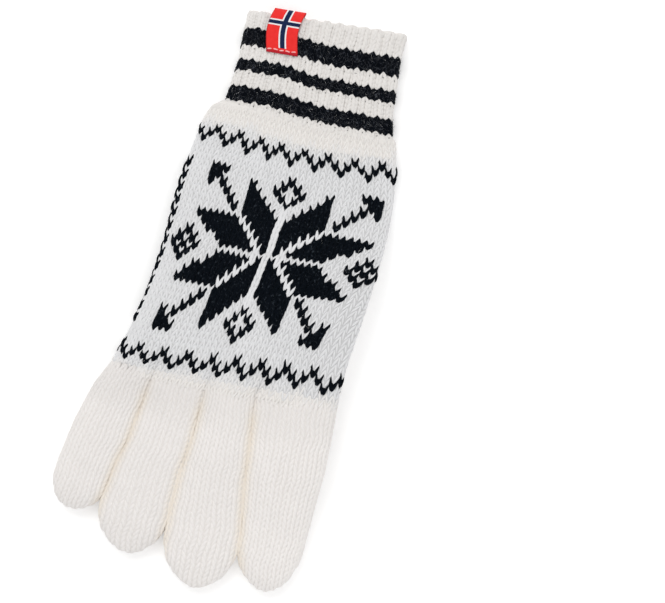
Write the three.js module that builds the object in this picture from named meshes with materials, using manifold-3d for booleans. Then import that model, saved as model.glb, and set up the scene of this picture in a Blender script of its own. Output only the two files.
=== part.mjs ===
// Right-hand knit glove lying palm down: ribbed cuff, star-patterned hand,
// four fingers side by side and the thumb folded flat under the palm.
// Millimetres, +Z up. Fingers point to -Y, the cuff opens to +Y and the index
// side is +X. Every tube is hollow and open where a wrist or a finger goes in.

import * as THREE from 'three';
import Module from 'manifold-3d';

// ---------------------------------------------------------------- dimensions
const WALL = 2.2;            // knitted fabric
const CUFF_WALL = 2.6;       // ribbed fabric, between the ridges and the inside
const GAP = 0.3;             // clearance between neighbouring pieces
const SIDE_GAP = 0.25;       // half the clearance between neighbouring fingers
const HAND_DEPTH = 13.2;
const CUFF_DEPTH = 13.0;
const FINGER_DEPTH = 13.8;
const THUMB_DEPTH = 9.4;
const THUMB_LIFT = 10.0;     // how far the folded thumb lifts the palm
const RIBS = 26;             // ridges round the cuff
const RIB_DEPTH = 0.8;
const LABEL_WIDTH = 13.4;
const LABEL_THICK = 0.8;
const SIDE_LEVEL = 0.46;     // height of a tube's widest line, as part of its depth
const FRAME_SHIFT = [4.0, 19.05];   // moves the tables' zero to the middle of the glove

// ---------------------------------------------------------------- tables
// Courses of the hand, from the cuff to the finger roots.
// course number, left edge x, y, right edge x, y
const HAND_COURSES = [
  [23.5, -36.0, 57.0, 35.8, 63.7],
  [22.3, -40.0, 53.0, 38.1, 60.3],
  [20.0, -41.8, 47.0, 40.4, 53.4],
  [17.0, -42.8, 40.4, 42.5, 45.4],
  [12.0, -44.8, 26.5, 45.0, 32.1],
  [6.0, -45.4, 10.2, 46.3, 18.1],
  [0.0, -44.5, -6.6, 46.5, 2.8],
  [-6.0, -44.9, -23.8, 46.4, -13.5],
  [-12.0, -46.5, -41.2, 45.7, -29.9],
  [-17.0, -48.6, -55.4, 45.8, -44.8],
  [-21.0, -51.9, -64.9, 46.9, -55.8],
];

// Courses of the cuff, from its top edge to the hand.
// left edge x, y, right edge x, y
const CUFF_COURSES = [
  [-37.9, 95.0, 30.0, 104.4],
  [-37.3, 86.0, 30.2, 94.6],
  [-36.2, 76.0, 31.9, 83.6],
  [-35.5, 66.0, 33.3, 73.0],
  [-36.0, 57.3, 35.7, 64.0],
];

// Lines down the fingers: y, x
const LITTLE_EDGE = [[-64.9, -51.9], [-72.6, -54.3], [-89.7, -57.1], [-108.6, -58.8], [-117.8, -58.9]];
const GROOVE_1 = [[-63.1, -32.5], [-91.0, -34.4], [-102.0, -36.5], [-118.0, -38.1]];
const GROOVE_2 = [[-60.9, -8.9], [-85.0, -8.5], [-98.7, -9.4], [-112.0, -9.0], [-125.0, -8.2]];
const GROOVE_3 = [[-59.0, 11.8], [-77.7, 15.2], [-94.9, 17.9], [-120.0, 23.5]];
const INDEX_EDGE = [[-55.8, 46.9], [-67.8, 48.3], [-81.0, 49.4], [-103.0, 49.9], [-121.6, 50.7]];
const THUMB_INNER = [[27.0, 12.6], [2.0, 12.4], [-20.0, 12.2], [-40.0, 13.4], [-52.0, 15.2]];
const THUMB_OUTER = [[27.0, 43.6], [2.0, 44.8], [-20.0, 45.2], [-40.0, 44.6], [-52.0, 43.2]];

// name, line on its -X side, inset, line on its +X side, inset, y where the tip
// starts to round, tip x, tip y
const FINGERS = [
  ['little_finger', LITTLE_EDGE, 0, GROOVE_1, SIDE_GAP, -112.5, -48.8, -126.3],
  ['ring_finger', GROOVE_1, SIDE_GAP, GROOVE_2, SIDE_GAP, -118.0, -22.0, -137.2],
  ['middle_finger', GROOVE_2, SIDE_GAP, GROOVE_3, SIDE_GAP, -120.0, 9.5, -143.0],
  ['index_finger', GROOVE_3, SIDE_GAP, INDEX_EDGE, 0, -115.5, 38.0, -136.4],
];

// Positions across a tube, 0 at its -X edge and 1 at its +X edge.
const HAND_TOP = [0, 0.006, 0.025, 0.055, 0.1, 0.145, 0.172, 0.197, 0.222, 0.26, 0.32, 0.38,
  0.411, 0.436, 0.461, 0.5, 0.56, 0.62, 0.645, 0.67, 0.72, 0.79, 0.85, 0.9, 0.945, 0.975, 0.994, 1];
const HAND_BOTTOM = [0, 0.006, 0.025, 0.06, 0.1, 0.2, 0.32, 0.38, 0.44, 0.5, 0.56, 0.62, 0.7, 0.8,
  0.9, 0.94, 0.975, 0.994, 1];
const TUBE_STEPS = 10;
const TUBE_ACROSS = Array.from({ length: TUBE_STEPS + 1 }, (_, i) => (1 - Math.cos(Math.PI * i / TUBE_STEPS)) / 2);

// ---------------------------------------------------------------- helpers
const clamp01 = (v) => Math.min(1, Math.max(0, v));
const smooth = (v) => { const t = clamp01(v); return t * t * (3 - 2 * t); };

// Height of the glove's underside above the surface it lies on: the palm rides
// over the folded thumb and comes back down all round it.
function lift(x, y) {
  const across = smooth((x + 26) / 37);
  const along = y > 0 ? smooth((36 - y) / 33) : smooth((y + 122) / 53);
  return THUMB_LIFT * across * along;
}

// A line given as rows of y and x, read at any y.
function lineX(rows, y) {
  const d = Math.sign(rows[rows.length - 1][0] - rows[0][0]);
  for (let i = 1; i < rows.length; i++) {
    const [y0, x0] = rows[i - 1], [y1, x1] = rows[i];
    if ((y - y1) * d <= 0 || i === rows.length - 1) return x0 + (x1 - x0) * (y - y0) / (y1 - y0);
  }
}

// The hand's course at any course number, on smooth edges through the table.
function handCourse(course) {
  const T = HAND_COURSES;
  let i = 0;
  while (i < T.length - 2 && course < T[i + 1][0]) i++;
  const a = T[Math.max(0, i - 1)], b = T[i], c = T[i + 1], d = T[Math.min(T.length - 1, i + 2)];
  const h = c[0] - b[0], t = (course - b[0]) / h;
  return [1, 2, 3, 4].map((k) => {
    const mb = i > 0 ? (c[k] - a[k]) / (c[0] - a[0]) * h : c[k] - b[k];
    const mc = i < T.length - 2 ? (d[k] - b[k]) / (d[0] - b[0]) * h : c[k] - b[k];
    const t2 = t * t, t3 = t2 * t;
    return (2 * t3 - 3 * t2 + 1) * b[k] + (t3 - 2 * t2 + t) * mb + (3 * t2 - 2 * t3) * c[k] + (t3 - t2) * mc;
  });
}

// Heights of a flattened tube's upper and lower sides. s is 0 in the middle and
// 1 at the edge; crown is how square its shoulders are; the underside is flat
// but for a rounding of the given width along each edge.
const topZ = (s, depth, crown) => depth * (SIDE_LEVEL + (1 - SIDE_LEVEL) * Math.sqrt(Math.max(0, 1 - s ** crown)));
function bottomZ(s, depth, half, round) {
  const start = 1 - Math.min(0.9, round / half);
  const e = clamp01((s - start) / (1 - start));
  return depth * SIDE_LEVEL * (1 - Math.sqrt(Math.max(0, 1 - e * e)));
}

// One closed ring of points round a tube: over the top from -X to +X and back
// underneath. row is [x0, y0, x1, y1]; inset moves the ring into the wall and
// squash flattens it towards its side level, as at a rounded tip.
function ring(row, depth, inset, { top = TUBE_ACROSS, bottom = TUBE_ACROSS, crown = 2.6, round = 6, squash = 1, dip = null }) {
  const [x0, y0, x1, y1] = row;
  const width = Math.hypot(x1 - x0, y1 - y0), cut = inset / width;
  const d = depth - 2 * inset, side = inset + d * SIDE_LEVEL;
  const point = (f, upper) => {
    const g = cut + f * (1 - 2 * cut), s = Math.abs(2 * f - 1);
    const x = x0 + (x1 - x0) * g, y = y0 + (y1 - y0) * g;
    let z = inset + (upper ? topZ(s, d, crown) : bottomZ(s, d, width / 2 - inset, round));
    if (upper && dip) z -= Math.min(dip(x, y), Math.max(0, z - side - 0.4));
    return new THREE.Vector3(x, y, side + (z - side) * squash + lift(x, y));
  };
  return [...top.map((f) => point(f, true)), ...bottom.slice(1, -1).reverse().map((f) => point(f, false))];
}

// A closed body from two sets of rings. Both are joined at the first ring, and
// at the last one too unless each ends in a point.
function wallBody(outer, inner, outerTip = null, innerTip = null) {
  const n = outer[0].length, verts = [], faces = [];
  const add = (points) => { const k = verts.length; verts.push(...points); return k; };
  const band = (a, b, flip) => {
    for (let i = 0; i < n; i++) {
      const j = (i + 1) % n;
      if (flip) faces.push([a + i, b + i, a + j], [a + j, b + i, b + j]);
      else faces.push([a + i, a + j, b + i], [a + j, b + j, b + i]);
    }
  };
  const o = outer.map(add), q = inner.map(add);
  for (let k = 1; k < o.length; k++) band(o[k - 1], o[k], false);
  for (let k = 1; k < q.length; k++) band(q[k - 1], q[k], true);
  band(o[0], q[0], true);
  if (outerTip) {
    const po = add([outerTip]), pi = add([innerTip]), a = o[o.length - 1], b = q[q.length - 1];
    for (let i = 0; i < n; i++) {
      const j = (i + 1) % n;
      faces.push([a + i, a + j, po], [b + j, b + i, pi]);
    }
  } else band(o[o.length - 1], q[q.length - 1], false);
  return facing(verts, faces);
}

// A solid through rings with both ends closed flat, or the last in a point.
function plugBody(rings, tip = null) {
  const n = rings[0].length, verts = [], faces = [];
  const add = (points) => { const k = verts.length; verts.push(...points); return k; };
  const r = rings.map(add);
  for (let k = 1; k < r.length; k++) for (let i = 0; i < n; i++) {
    const j = (i + 1) % n;
    faces.push([r[k - 1] + i, r[k - 1] + j, r[k] + i], [r[k - 1] + j, r[k] + j, r[k] + i]);
  }
  const middle = (points) => points.reduce((m, p) => m.add(p), new THREE.Vector3()).divideScalar(points.length);
  const s = add([middle(rings[0])]), e = add([tip || middle(rings[rings.length - 1])]);
  for (let i = 0; i < n; i++) {
    const j = (i + 1) % n, last = r[r.length - 1];
    faces.push([r[0] + j, r[0] + i, s], [last + i, last + j, e]);
  }
  return facing(verts, faces);
}

// Turns the faces outwards and makes the geometry.
function facing(verts, faces) {
  let volume = 0;
  for (const [a, b, c] of faces) volume += verts[a].dot(verts[b].clone().cross(verts[c]));
  const order = volume > 0 ? faces : faces.map(([a, b, c]) => [a, c, b]);
  const g = new THREE.BufferGeometry();
  g.setAttribute('position', new THREE.Float32BufferAttribute(verts.flatMap((p) => [p.x, p.y, p.z]), 3));
  g.setIndex(order.flat());
  g.computeVertexNormals();
  return g;
}

// ---------------------------------------------------------------- solids
const wasm = await Module();
wasm.setup();
const toSolid = (g) => new wasm.Manifold(new wasm.Mesh({
  numProp: 3,
  vertProperties: new Float32Array(g.attributes.position.array),
  triVerts: new Uint32Array(g.index.array),
}));
function toGeometry(solid) {
  const m = solid.getMesh(), g = new THREE.BufferGeometry();
  g.setAttribute('position', new THREE.Float32BufferAttribute(m.vertProperties, 3));
  g.setIndex(Array.from(m.triVerts));
  g.computeVertexNormals();
  return g;
}

// ---------------------------------------------------------------- hand
const rootY = (x) => {
  const [, x0, y0, x1, y1] = HAND_COURSES[HAND_COURSES.length - 1];
  return y0 + (y1 - y0) * (x - x0) / (x1 - x0);
};

// The back sinks between the fingers, and the valleys run out over the knuckles.
function knuckleDip(x, y) {
  const away = y - rootY(x);
  const fade = 1 - smooth(away / 15);
  return [GROOVE_1[0][1], GROOVE_2[0][1], GROOVE_3[0][1]]
    .reduce((d, g) => d + 4.6 * fade * Math.exp(-(((x - g) / 2.6) ** 2)), 0);
}

const HAND_STEPS = [23.5, 22.8, 21.8, 20, 17.5, 15, 12.5, 10, 7.5, 5, 2.5, 0, -5, -10, -14, -17.5, -19.5, -21];
const handRing = (course, inset) => ring(handCourse(course), HAND_DEPTH, inset,
  { top: HAND_TOP, bottom: HAND_BOTTOM, crown: 4, round: 9, dip: inset > 0 ? null : knuckleDip });
const handWall = wallBody(HAND_STEPS.map((c) => handRing(c, 0)), HAND_STEPS.map((c) => handRing(c, WALL)));
const handOutside = plugBody(HAND_STEPS.map((c) => handRing(c, -0.42)));

// ---------------------------------------------------------------- fingers
// Rings of a finger from its root to where it rounds, then round its tip.
function fingerRings(left, leftInset, right, rightInset, roundY, tipX, tipY, depth, inset, opts) {
  const rings = [], steps = [0, 0.14, 0.36, 0.58, 0.8, 1];
  const x0 = lineX(left, rootY(left[0][1])), x1 = lineX(right, rootY(right[0][1]));
  const startY = rootY((x0 + x1) / 2) - GAP;
  const slope = (rootY(x1) - rootY(x0)) / (x1 - x0);
  let row = null;
  for (const u of steps) {
    const y = startY + (roundY - startY) * u, k = slope * (1 - u);
    let l = [lineX(left, y) + leftInset, y], r = [lineX(right, y) - rightInset, y];
    for (let i = 0; i < 3; i++) {
      const mid = (l[0] + r[0]) / 2;
      l = [lineX(left, y + k * (l[0] - mid)) + leftInset, y + k * (l[0] - mid)];
      r = [lineX(right, y + k * (r[0] - mid)) - rightInset, y + k * (r[0] - mid)];
    }
    row = [l[0], l[1], r[0], r[1]];
    rings.push(ring(row, depth, inset, opts));
  }
  const mid = (row[0] + row[2]) / 2, half = (row[2] - row[0]) / 2 - inset;
  const reach = roundY - (tipY + inset);
  for (const a of [24, 44, 61, 76].map((v) => v * Math.PI / 180)) {
    const y = roundY - reach * Math.sin(a), h = half * Math.cos(a), m = mid + (tipX - mid) * (1 - Math.cos(a));
    // the inset is already taken off the width here, so it is put back for the ring
    rings.push(ring([m - h - inset, y, m + h + inset, y], depth, inset, { ...opts, squash: Math.cos(a) }));
  }
  const side = inset + (depth - 2 * inset) * SIDE_LEVEL;
  const tip = new THREE.Vector3(tipX, tipY + inset, side + lift(tipX, tipY));
  return { rings, tip };
}

const fingerBodies = FINGERS.map(([name, left, li, right, ri, roundY, tipX, tipY]) => {
  const o = fingerRings(left, li, right, ri, roundY, tipX, tipY, FINGER_DEPTH, 0, { round: 6.5 });
  const q = fingerRings(left, li, right, ri, roundY, tipX, tipY, FINGER_DEPTH, WALL, { round: 4.5 });
  return [name, wallBody(o.rings, q.rings, o.tip, q.tip)];
});

// ---------------------------------------------------------------- thumb
// It leaves the palm where the palm comes down to the surface, and lies flat
// under it. Its mouth is cut to the palm, and the palm is open into it.
function thumbRings(startY, inset) {
  const rings = [];
  const flatRing = (x0, y, x1, squash) => {
    const r = ring([x0, y, x1, y], THUMB_DEPTH, inset, { crown: 3, round: 6 - inset / 2, squash });
    return r.map((p) => new THREE.Vector3(p.x, p.y, p.z - lift(p.x, p.y)));
  };
  const roundY = -49, tipX = 29.6, tipY = -66.5;
  for (const y of [startY, 16, 4, -8, -22, -36, roundY]) rings.push(flatRing(lineX(THUMB_INNER, y), y, lineX(THUMB_OUTER, y), 1));
  const x0 = lineX(THUMB_INNER, roundY), x1 = lineX(THUMB_OUTER, roundY);
  const mid = (x0 + x1) / 2, half = (x1 - x0) / 2 - inset, reach = roundY - (tipY + inset);
  for (const a of [24, 44, 61, 76].map((v) => v * Math.PI / 180)) {
    const y = roundY - reach * Math.sin(a), h = half * Math.cos(a);
    rings.push(flatRing(mid - h - inset, y, mid + h + inset, Math.cos(a)));
  }
  return { rings, tip: new THREE.Vector3(tipX, tipY + inset, inset + (THUMB_DEPTH - 2 * inset) * SIDE_LEVEL) };
}
const thumbOut = thumbRings(26.5, 0), thumbIn = thumbRings(31.5, WALL);
const thumbHollow = toSolid(plugBody(thumbIn.rings, thumbIn.tip));
const thumbSolid = toSolid(plugBody(thumbOut.rings, thumbOut.tip)).subtract(toSolid(handOutside)).subtract(thumbHollow);
const handSolid = toSolid(handWall).subtract(thumbHollow);

// ---------------------------------------------------------------- cuff
// Ridges of the rib: two points on each ridge and one in the valley beside it.
function cuffRing(row, inset) {
  const across = Array.from({ length: 49 }, (_, i) => (1 - Math.cos(Math.PI * i / 48)) / 2);
  const base = ring(row, CUFF_DEPTH, inset, { top: across, bottom: across, crown: 4, round: 8 });
  const n = base.length, length = [0];
  for (let i = 0; i < n; i++) length.push(length[i] + base[i].distanceTo(base[(i + 1) % n]));
  const at = (d) => {
    const w = ((d % length[n]) + length[n]) % length[n];
    let i = 0;
    while (i < n - 1 && length[i + 1] < w) i++;
    return base[i].clone().lerp(base[(i + 1) % n], (w - length[i]) / (length[i + 1] - length[i]));
  };
  const ringOut = [];
  for (let rib = 0; rib < RIBS; rib++) for (const [phase, depth] of [[0.14, 0], [0.86, 0], [1, inset > 0 ? 0 : RIB_DEPTH]]) {
    const d = (rib + phase) / RIBS * length[n], p = at(d);
    const along = at(d + 0.8).sub(at(d - 0.8));
    const inward = new THREE.Vector3(along.z, 0, -along.x).normalize();
    ringOut.push(p.addScaledVector(inward, depth));
  }
  return ringOut;
}
const cuffGeometry = wallBody(CUFF_COURSES.map((r) => cuffRing(r, 0)), CUFF_COURSES.map((r) => cuffRing(r, CUFF_WALL)));

// ---------------------------------------------------------------- label
// A woven tape folded over the cuff's top edge: profile along the tape, drawn
// in a plane with u towards the top edge and v up from the surface.
const LABEL = { x: -20.1, y: 97.3, turn: 0.12, outerLeg: 15.2, innerLeg: 12.4, over: 3.1, high: 13.3, low: 8.0 };
function labelGeometry() {
  const t = LABEL_THICK, { outerLeg, innerLeg, over, high, low } = LABEL;
  const shape = new THREE.Shape();
  const midV = (high + t + low) / 2, rOut = (high + t - low) / 2;
  shape.moveTo(-outerLeg, high);
  shape.lineTo(-outerLeg, high + t);
  shape.lineTo(over - rOut, high + t);
  for (let i = 1; i < 10; i++) {
    const a = Math.PI / 2 - Math.PI * i / 10;
    shape.lineTo(over - rOut + rOut * Math.cos(a), midV + rOut * Math.sin(a));
  }
  shape.lineTo(over - rOut, low);
  shape.lineTo(-innerLeg, low);
  shape.lineTo(-innerLeg, low + t);
  shape.lineTo(over - rOut, low + t);
  for (let i = 9; i > 0; i--) {
    const a = Math.PI / 2 - Math.PI * i / 10, r = rOut - t;
    shape.lineTo(over - rOut + r * Math.cos(a), midV + r * Math.sin(a));
  }
  shape.lineTo(over - rOut, high);
  shape.closePath();
  const g = new THREE.ExtrudeGeometry(shape, { depth: LABEL_WIDTH, bevelEnabled: false, steps: 1 });
  g.translate(0, 0, -LABEL_WIDTH / 2);
  return g;
}

// ---------------------------------------------------------------- assembly
const knit = (color) => new THREE.MeshStandardMaterial({ color, roughness: 0.95, metalness: 0 });
const glove = new THREE.Group();
glove.name = 'knit_glove';
const put = (name, geometry, material) => {
  const mesh = new THREE.Mesh(geometry, material);
  mesh.name = name;
  glove.add(mesh);
  return mesh;
};

put('cuff', cuffGeometry, knit('#e6e2d8'));
put('hand', toGeometry(handSolid), knit('#e2e2e0'));
for (const [name, geometry] of fingerBodies) put(name, geometry, knit('#ece6da'));
put('thumb', toGeometry(thumbSolid), knit('#ece6da'));

const label = put('label', labelGeometry(), new THREE.MeshStandardMaterial({ color: '#d8322c', roughness: 0.7, metalness: 0 }));
label.rotation.set(Math.PI / 2, Math.PI / 2 + LABEL.turn, 0, 'YXZ');
label.position.set(LABEL.x, LABEL.y, 0);
label.quaternion.setFromRotationMatrix(new THREE.Matrix4().makeBasis(
  new THREE.Vector3(-Math.sin(LABEL.turn), Math.cos(LABEL.turn), 0),
  new THREE.Vector3(0, 0, 1),
  new THREE.Vector3(Math.cos(LABEL.turn), Math.sin(LABEL.turn), 0),
));

for (const child of glove.children) child.position.add(new THREE.Vector3(FRAME_SHIFT[0], FRAME_SHIFT[1], 0));

export default glove;
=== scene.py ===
# Right-hand knit glove lying palm down on a pale floor: striped ribbed cuff,
# eight-petal star on the back, small check on the palm, cream fingers side by
# side, thumb folded under the palm and a woven tape over the cuff's edge.
# Every stitch is modelled. Tables are in millimetres, in the glove's frame.

import math

import bpy
import numpy as np
from mathutils import Matrix, Vector


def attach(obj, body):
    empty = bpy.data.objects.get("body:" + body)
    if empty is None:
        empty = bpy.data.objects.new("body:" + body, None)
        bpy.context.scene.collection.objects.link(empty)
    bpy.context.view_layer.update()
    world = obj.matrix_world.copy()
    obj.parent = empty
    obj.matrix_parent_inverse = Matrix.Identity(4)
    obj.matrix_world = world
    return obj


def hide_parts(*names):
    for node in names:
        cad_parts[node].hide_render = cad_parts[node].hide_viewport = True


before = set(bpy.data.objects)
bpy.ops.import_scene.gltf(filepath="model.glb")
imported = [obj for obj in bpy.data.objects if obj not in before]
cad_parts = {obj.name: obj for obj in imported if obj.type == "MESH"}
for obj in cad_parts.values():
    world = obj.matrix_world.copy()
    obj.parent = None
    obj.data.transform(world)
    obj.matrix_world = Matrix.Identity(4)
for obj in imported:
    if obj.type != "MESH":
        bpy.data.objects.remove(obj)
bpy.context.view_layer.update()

# ------------------------------------------------------------------ sizes, mm
WALL = 2.2
CUFF_WALL = 2.6
HAND_DEPTH = 13.2
CUFF_DEPTH = 13.0
FINGER_DEPTH = 13.8
THUMB_DEPTH = 9.4
THUMB_LIFT = 10.0
RIBS = 26
SIDE_LEVEL = 0.46
SHIFT = np.array([4.0, 19.05, 0.0])
PROUD = 0.78            # how far the stitches stand above the cloth they grow from
PRESS = 2.1             # how far neighbouring fingers swell into each other before they flatten
FINGER_COLUMN = 4.0
FINGER_ROW = 2.4
HAND_AROUND = 72        # stitches round the hand

# course number, left edge x, y, right edge x, y
HAND_COURSES = np.array([
    [23.5, -37.4, 57.8, 35.8, 63.7],
    [22.3, -40.8, 54.0, 38.1, 60.3],
    [20.0, -43.2, 47.5, 40.4, 53.4],
    [17.0, -43.9, 40.4, 42.5, 45.4],
    [12.0, -45.1, 26.5, 45.0, 32.1],
    [6.0, -45.4, 10.2, 46.3, 18.1],
    [0.0, -44.5, -6.6, 46.5, 2.8],
    [-6.0, -44.9, -23.8, 46.4, -13.5],
    [-12.0, -46.8, -41.2, 45.7, -29.9],
    [-17.0, -49.4, -55.4, 45.8, -44.8],
    [-21.0, -51.9, -64.9, 46.9, -55.8],
])
# left edge x, y, right edge x, y, from the top edge down
CUFF_COURSES = np.array([
    [-37.9, 95.0, 30.0, 104.4],
    [-37.3, 86.0, 30.2, 94.6],
    [-36.2, 76.0, 31.9, 83.6],
    [-36.3, 66.0, 33.3, 73.0],
    [-36.6, 57.3, 35.7, 64.0],
])
# y, x down the fingers
LITTLE_EDGE = [[-64.9, -52.1], [-72.6, -55.3], [-89.7, -58.9], [-108.6, -60.8], [-117.8, -60.8]]
GROOVE_1 = [[-63.1, -32.5], [-91.0, -34.4], [-102.0, -36.5], [-118.0, -38.1]]
GROOVE_2 = [[-60.9, -8.9], [-85.0, -8.5], [-98.7, -9.4], [-112.0, -9.0], [-125.0, -8.2]]
GROOVE_3 = [[-59.0, 11.8], [-77.7, 15.2], [-94.9, 17.9], [-120.0, 23.5]]
INDEX_EDGE = [[-55.8, 46.9], [-67.8, 48.3], [-81.0, 49.4], [-103.0, 49.9], [-121.6, 50.7]]
THUMB_INNER = [[27.0, 12.6], [2.0, 12.4], [-20.0, 12.2], [-40.0, 13.4], [-52.0, 15.2]]
THUMB_OUTER = [[27.0, 43.6], [2.0, 44.8], [-20.0, 45.2], [-40.0, 44.6], [-52.0, 43.2]]
# name, -X line, +X line, y where the tip starts to round, tip x, tip y
FINGERS = [
    ("little_finger", LITTLE_EDGE, GROOVE_1, -112.5, -49.8, -126.8),
    ("ring_finger", GROOVE_1, GROOVE_2, -118.0, -22.0, -138.0),
    ("middle_finger", GROOVE_2, GROOVE_3, -120.0, 9.5, -144.3),
    ("index_finger", GROOVE_3, INDEX_EDGE, -115.5, 38.0, -137.2),
]


# ------------------------------------------------------------------ helpers
def smooth(v):
    t = np.clip(v, 0.0, 1.0)
    return t * t * (3 - 2 * t)


def lift(x, y):
    across = smooth((x + 26) / 37)
    along = np.where(y > 0, smooth((36 - y) / 33), smooth((y + 122) / 53))
    return THUMB_LIFT * across * along


def line_x(rows, y):
    r = np.array(rows, float)
    r = r[np.argsort(r[:, 0])]
    y = np.asarray(y, float)
    x = np.interp(y, r[:, 0], r[:, 1])
    lo = (r[1, 1] - r[0, 1]) / (r[1, 0] - r[0, 0])
    hi = (r[-1, 1] - r[-2, 1]) / (r[-1, 0] - r[-2, 0])
    x = np.where(y < r[0, 0], r[0, 1] + (y - r[0, 0]) * lo, x)
    return np.where(y > r[-1, 0], r[-1, 1] + (y - r[-1, 0]) * hi, x)


def spline_rows(table, q):
    """Smooth curve through table rows, whose first column falls; q is read in that column."""
    T = table[::-1]
    k = T[:, 0]
    m = np.zeros_like(T[:, 1:])
    m[1:-1] = (T[2:, 1:] - T[:-2, 1:]) / (k[2:] - k[:-2])[:, None]
    m[0] = (T[1, 1:] - T[0, 1:]) / (k[1] - k[0])
    m[-1] = (T[-1, 1:] - T[-2, 1:]) / (k[-1] - k[-2])
    q = np.atleast_1d(np.asarray(q, float))
    i = np.clip(np.searchsorted(k, q) - 1, 0, len(k) - 2)
    h = (k[i + 1] - k[i])
    t = ((q - k[i]) / h)[:, None]
    tc = np.clip(t, 0, 1)
    h = h[:, None]
    a, b = T[i, 1:], T[i + 1, 1:]
    y = (2 * tc**3 - 3 * tc**2 + 1) * a + (tc**3 - 2 * tc**2 + tc) * m[i] * h + (3 * tc**2 - 2 * tc**3) * b + (tc**3 - tc**2) * m[i + 1] * h
    return y + np.where(t > 1, (t - 1) * m[i + 1] * h, 0) + np.where(t < 0, t * m[i] * h, 0)


class Waves:
    """Smooth repeatable unevenness: a few sine waves with set phases."""

    def __init__(self, seed, low, high, n=10):
        r = np.random.default_rng(seed)
        a = r.uniform(0, 2 * math.pi, n)
        k = 2 * math.pi / r.uniform(low, high, n)
        self.kx, self.ky, self.p = k * np.cos(a), k * np.sin(a), r.uniform(0, 2 * math.pi, n)
        self.n = n

    def __call__(self, x, y):
        x, y = np.asarray(x, float), np.asarray(y, float)
        out = np.zeros(np.broadcast(x, y).shape)
        for kx, ky, p in zip(self.kx, self.ky, self.p):
            out = out + np.sin(kx * x + ky * y + p)
        return out / math.sqrt(self.n)


puff = Waves(11, 14, 34)
drift_a = Waves(12, 9, 26)
drift_b = Waves(13, 9, 26)


def top_z(s, depth, crown):
    return depth * (SIDE_LEVEL + (1 - SIDE_LEVEL) * np.sqrt(np.clip(1 - s**crown, 0, 1)))


def bottom_z(s, depth, half, rnd):
    start = 1 - min(0.9, rnd / half)
    e = np.clip((s - start) / (1 - start), 0, 1)
    return depth * SIDE_LEVEL * (1 - np.sqrt(np.clip(1 - e * e, 0, 1)))


DENSE = (1 - np.cos(np.pi * np.arange(401) / 400)) / 2


def halves(row, depth, inset, crown, rnd, m, squash=1.0, shape_top=None, raised=True, base=None, press=(0, 0), touch=0.12):
    """A ring of 2m points, evenly spaced over the top from -X to +X and back underneath.

    press is how far each side would swell past its line if its neighbour did not flatten it there.
    """
    x0, y0, x1, y1 = row
    ux, uy = (x1 - x0), (y1 - y0)
    uu = math.hypot(ux, uy)
    ux, uy = ux / uu, uy / uu
    x0, y0, x1, y1 = x0 - ux * press[0], y0 - uy * press[0], x1 + ux * press[1], y1 + uy * press[1]
    width = math.hypot(x1 - x0, y1 - y0)
    cut, d = inset / width, depth - 2 * inset
    side = inset + d * SIDE_LEVEL
    out = []
    for upper in (True, False):
        def place(f, final):
            g = cut + f * (1 - 2 * cut)
            s = np.abs(2 * f - 1)
            low = (press[0] + touch) / width if press[0] else 0
            high = 1 - (press[1] + touch) / width if press[1] else 1
            gc = np.clip(g, low, high)
            x, y = x0 + (x1 - x0) * gc, y0 + (y1 - y0) * gc
            z = inset + (top_z(s, d, crown) if upper else bottom_z(s, d, width / 2 - inset, rnd))
            if upper and shape_top is not None and final:
                z = shape_top(x, y, z, side)
            z = side + (z - side) * squash
            if base is not None and not upper:
                z = z + base(x, y)
            if raised:
                z = z + lift(x, y)
            return np.stack([x, y, z], 1)
        p = place(DENSE, False)
        acc = np.concatenate([[0], np.cumsum(np.linalg.norm(np.diff(p, axis=0), axis=1))])
        f = np.interp(np.linspace(0, acc[-1], m + 1), acc, DENSE)
        p = place(f, True)
        out.append((p if upper else p[::-1])[:-1])
        out.append(acc[-1])
    return np.concatenate([out[0], out[2]]), out[1], out[3]


class Tube:
    """A cloth surface: a grid of points, closed round s from 0 to 1 and open along v."""

    def __init__(self, grid, v0, dv):
        self.P, self.v0, self.dv = grid, v0, dv
        self.nv, self.ns = grid.shape[:2]
        ds = np.roll(grid, -1, 1) - np.roll(grid, 1, 1)
        dr = np.gradient(grid, axis=0)
        n = np.cross(ds, dr)
        n /= np.maximum(np.linalg.norm(n, axis=2, keepdims=True), 1e-9)
        out = grid - grid.mean(1, keepdims=True)
        if (n * out).sum() < 0:
            n = -n
        self.N = n

    def at(self, s, v):
        x = np.mod(s, 1.0) * self.ns
        i = np.floor(x).astype(int)
        f = (x - i)[..., None]
        i0, i1 = i % self.ns, (i + 1) % self.ns
        y = np.clip((v - self.v0) / self.dv, 0, self.nv - 1 - 1e-6)
        j = np.floor(y).astype(int)
        g = (y - j)[..., None]
        out = []
        for A in (self.P, self.N):
            out.append((A[j, i0] * (1 - f) + A[j, i1] * f) * (1 - g) + (A[j + 1, i0] * (1 - f) + A[j + 1, i1] * f) * g)
        n = out[1] / np.maximum(np.linalg.norm(out[1], axis=-1, keepdims=True), 1e-9)
        return out[0], n


# ------------------------------------------------------------------ meshes
ROOT = "root"


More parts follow.
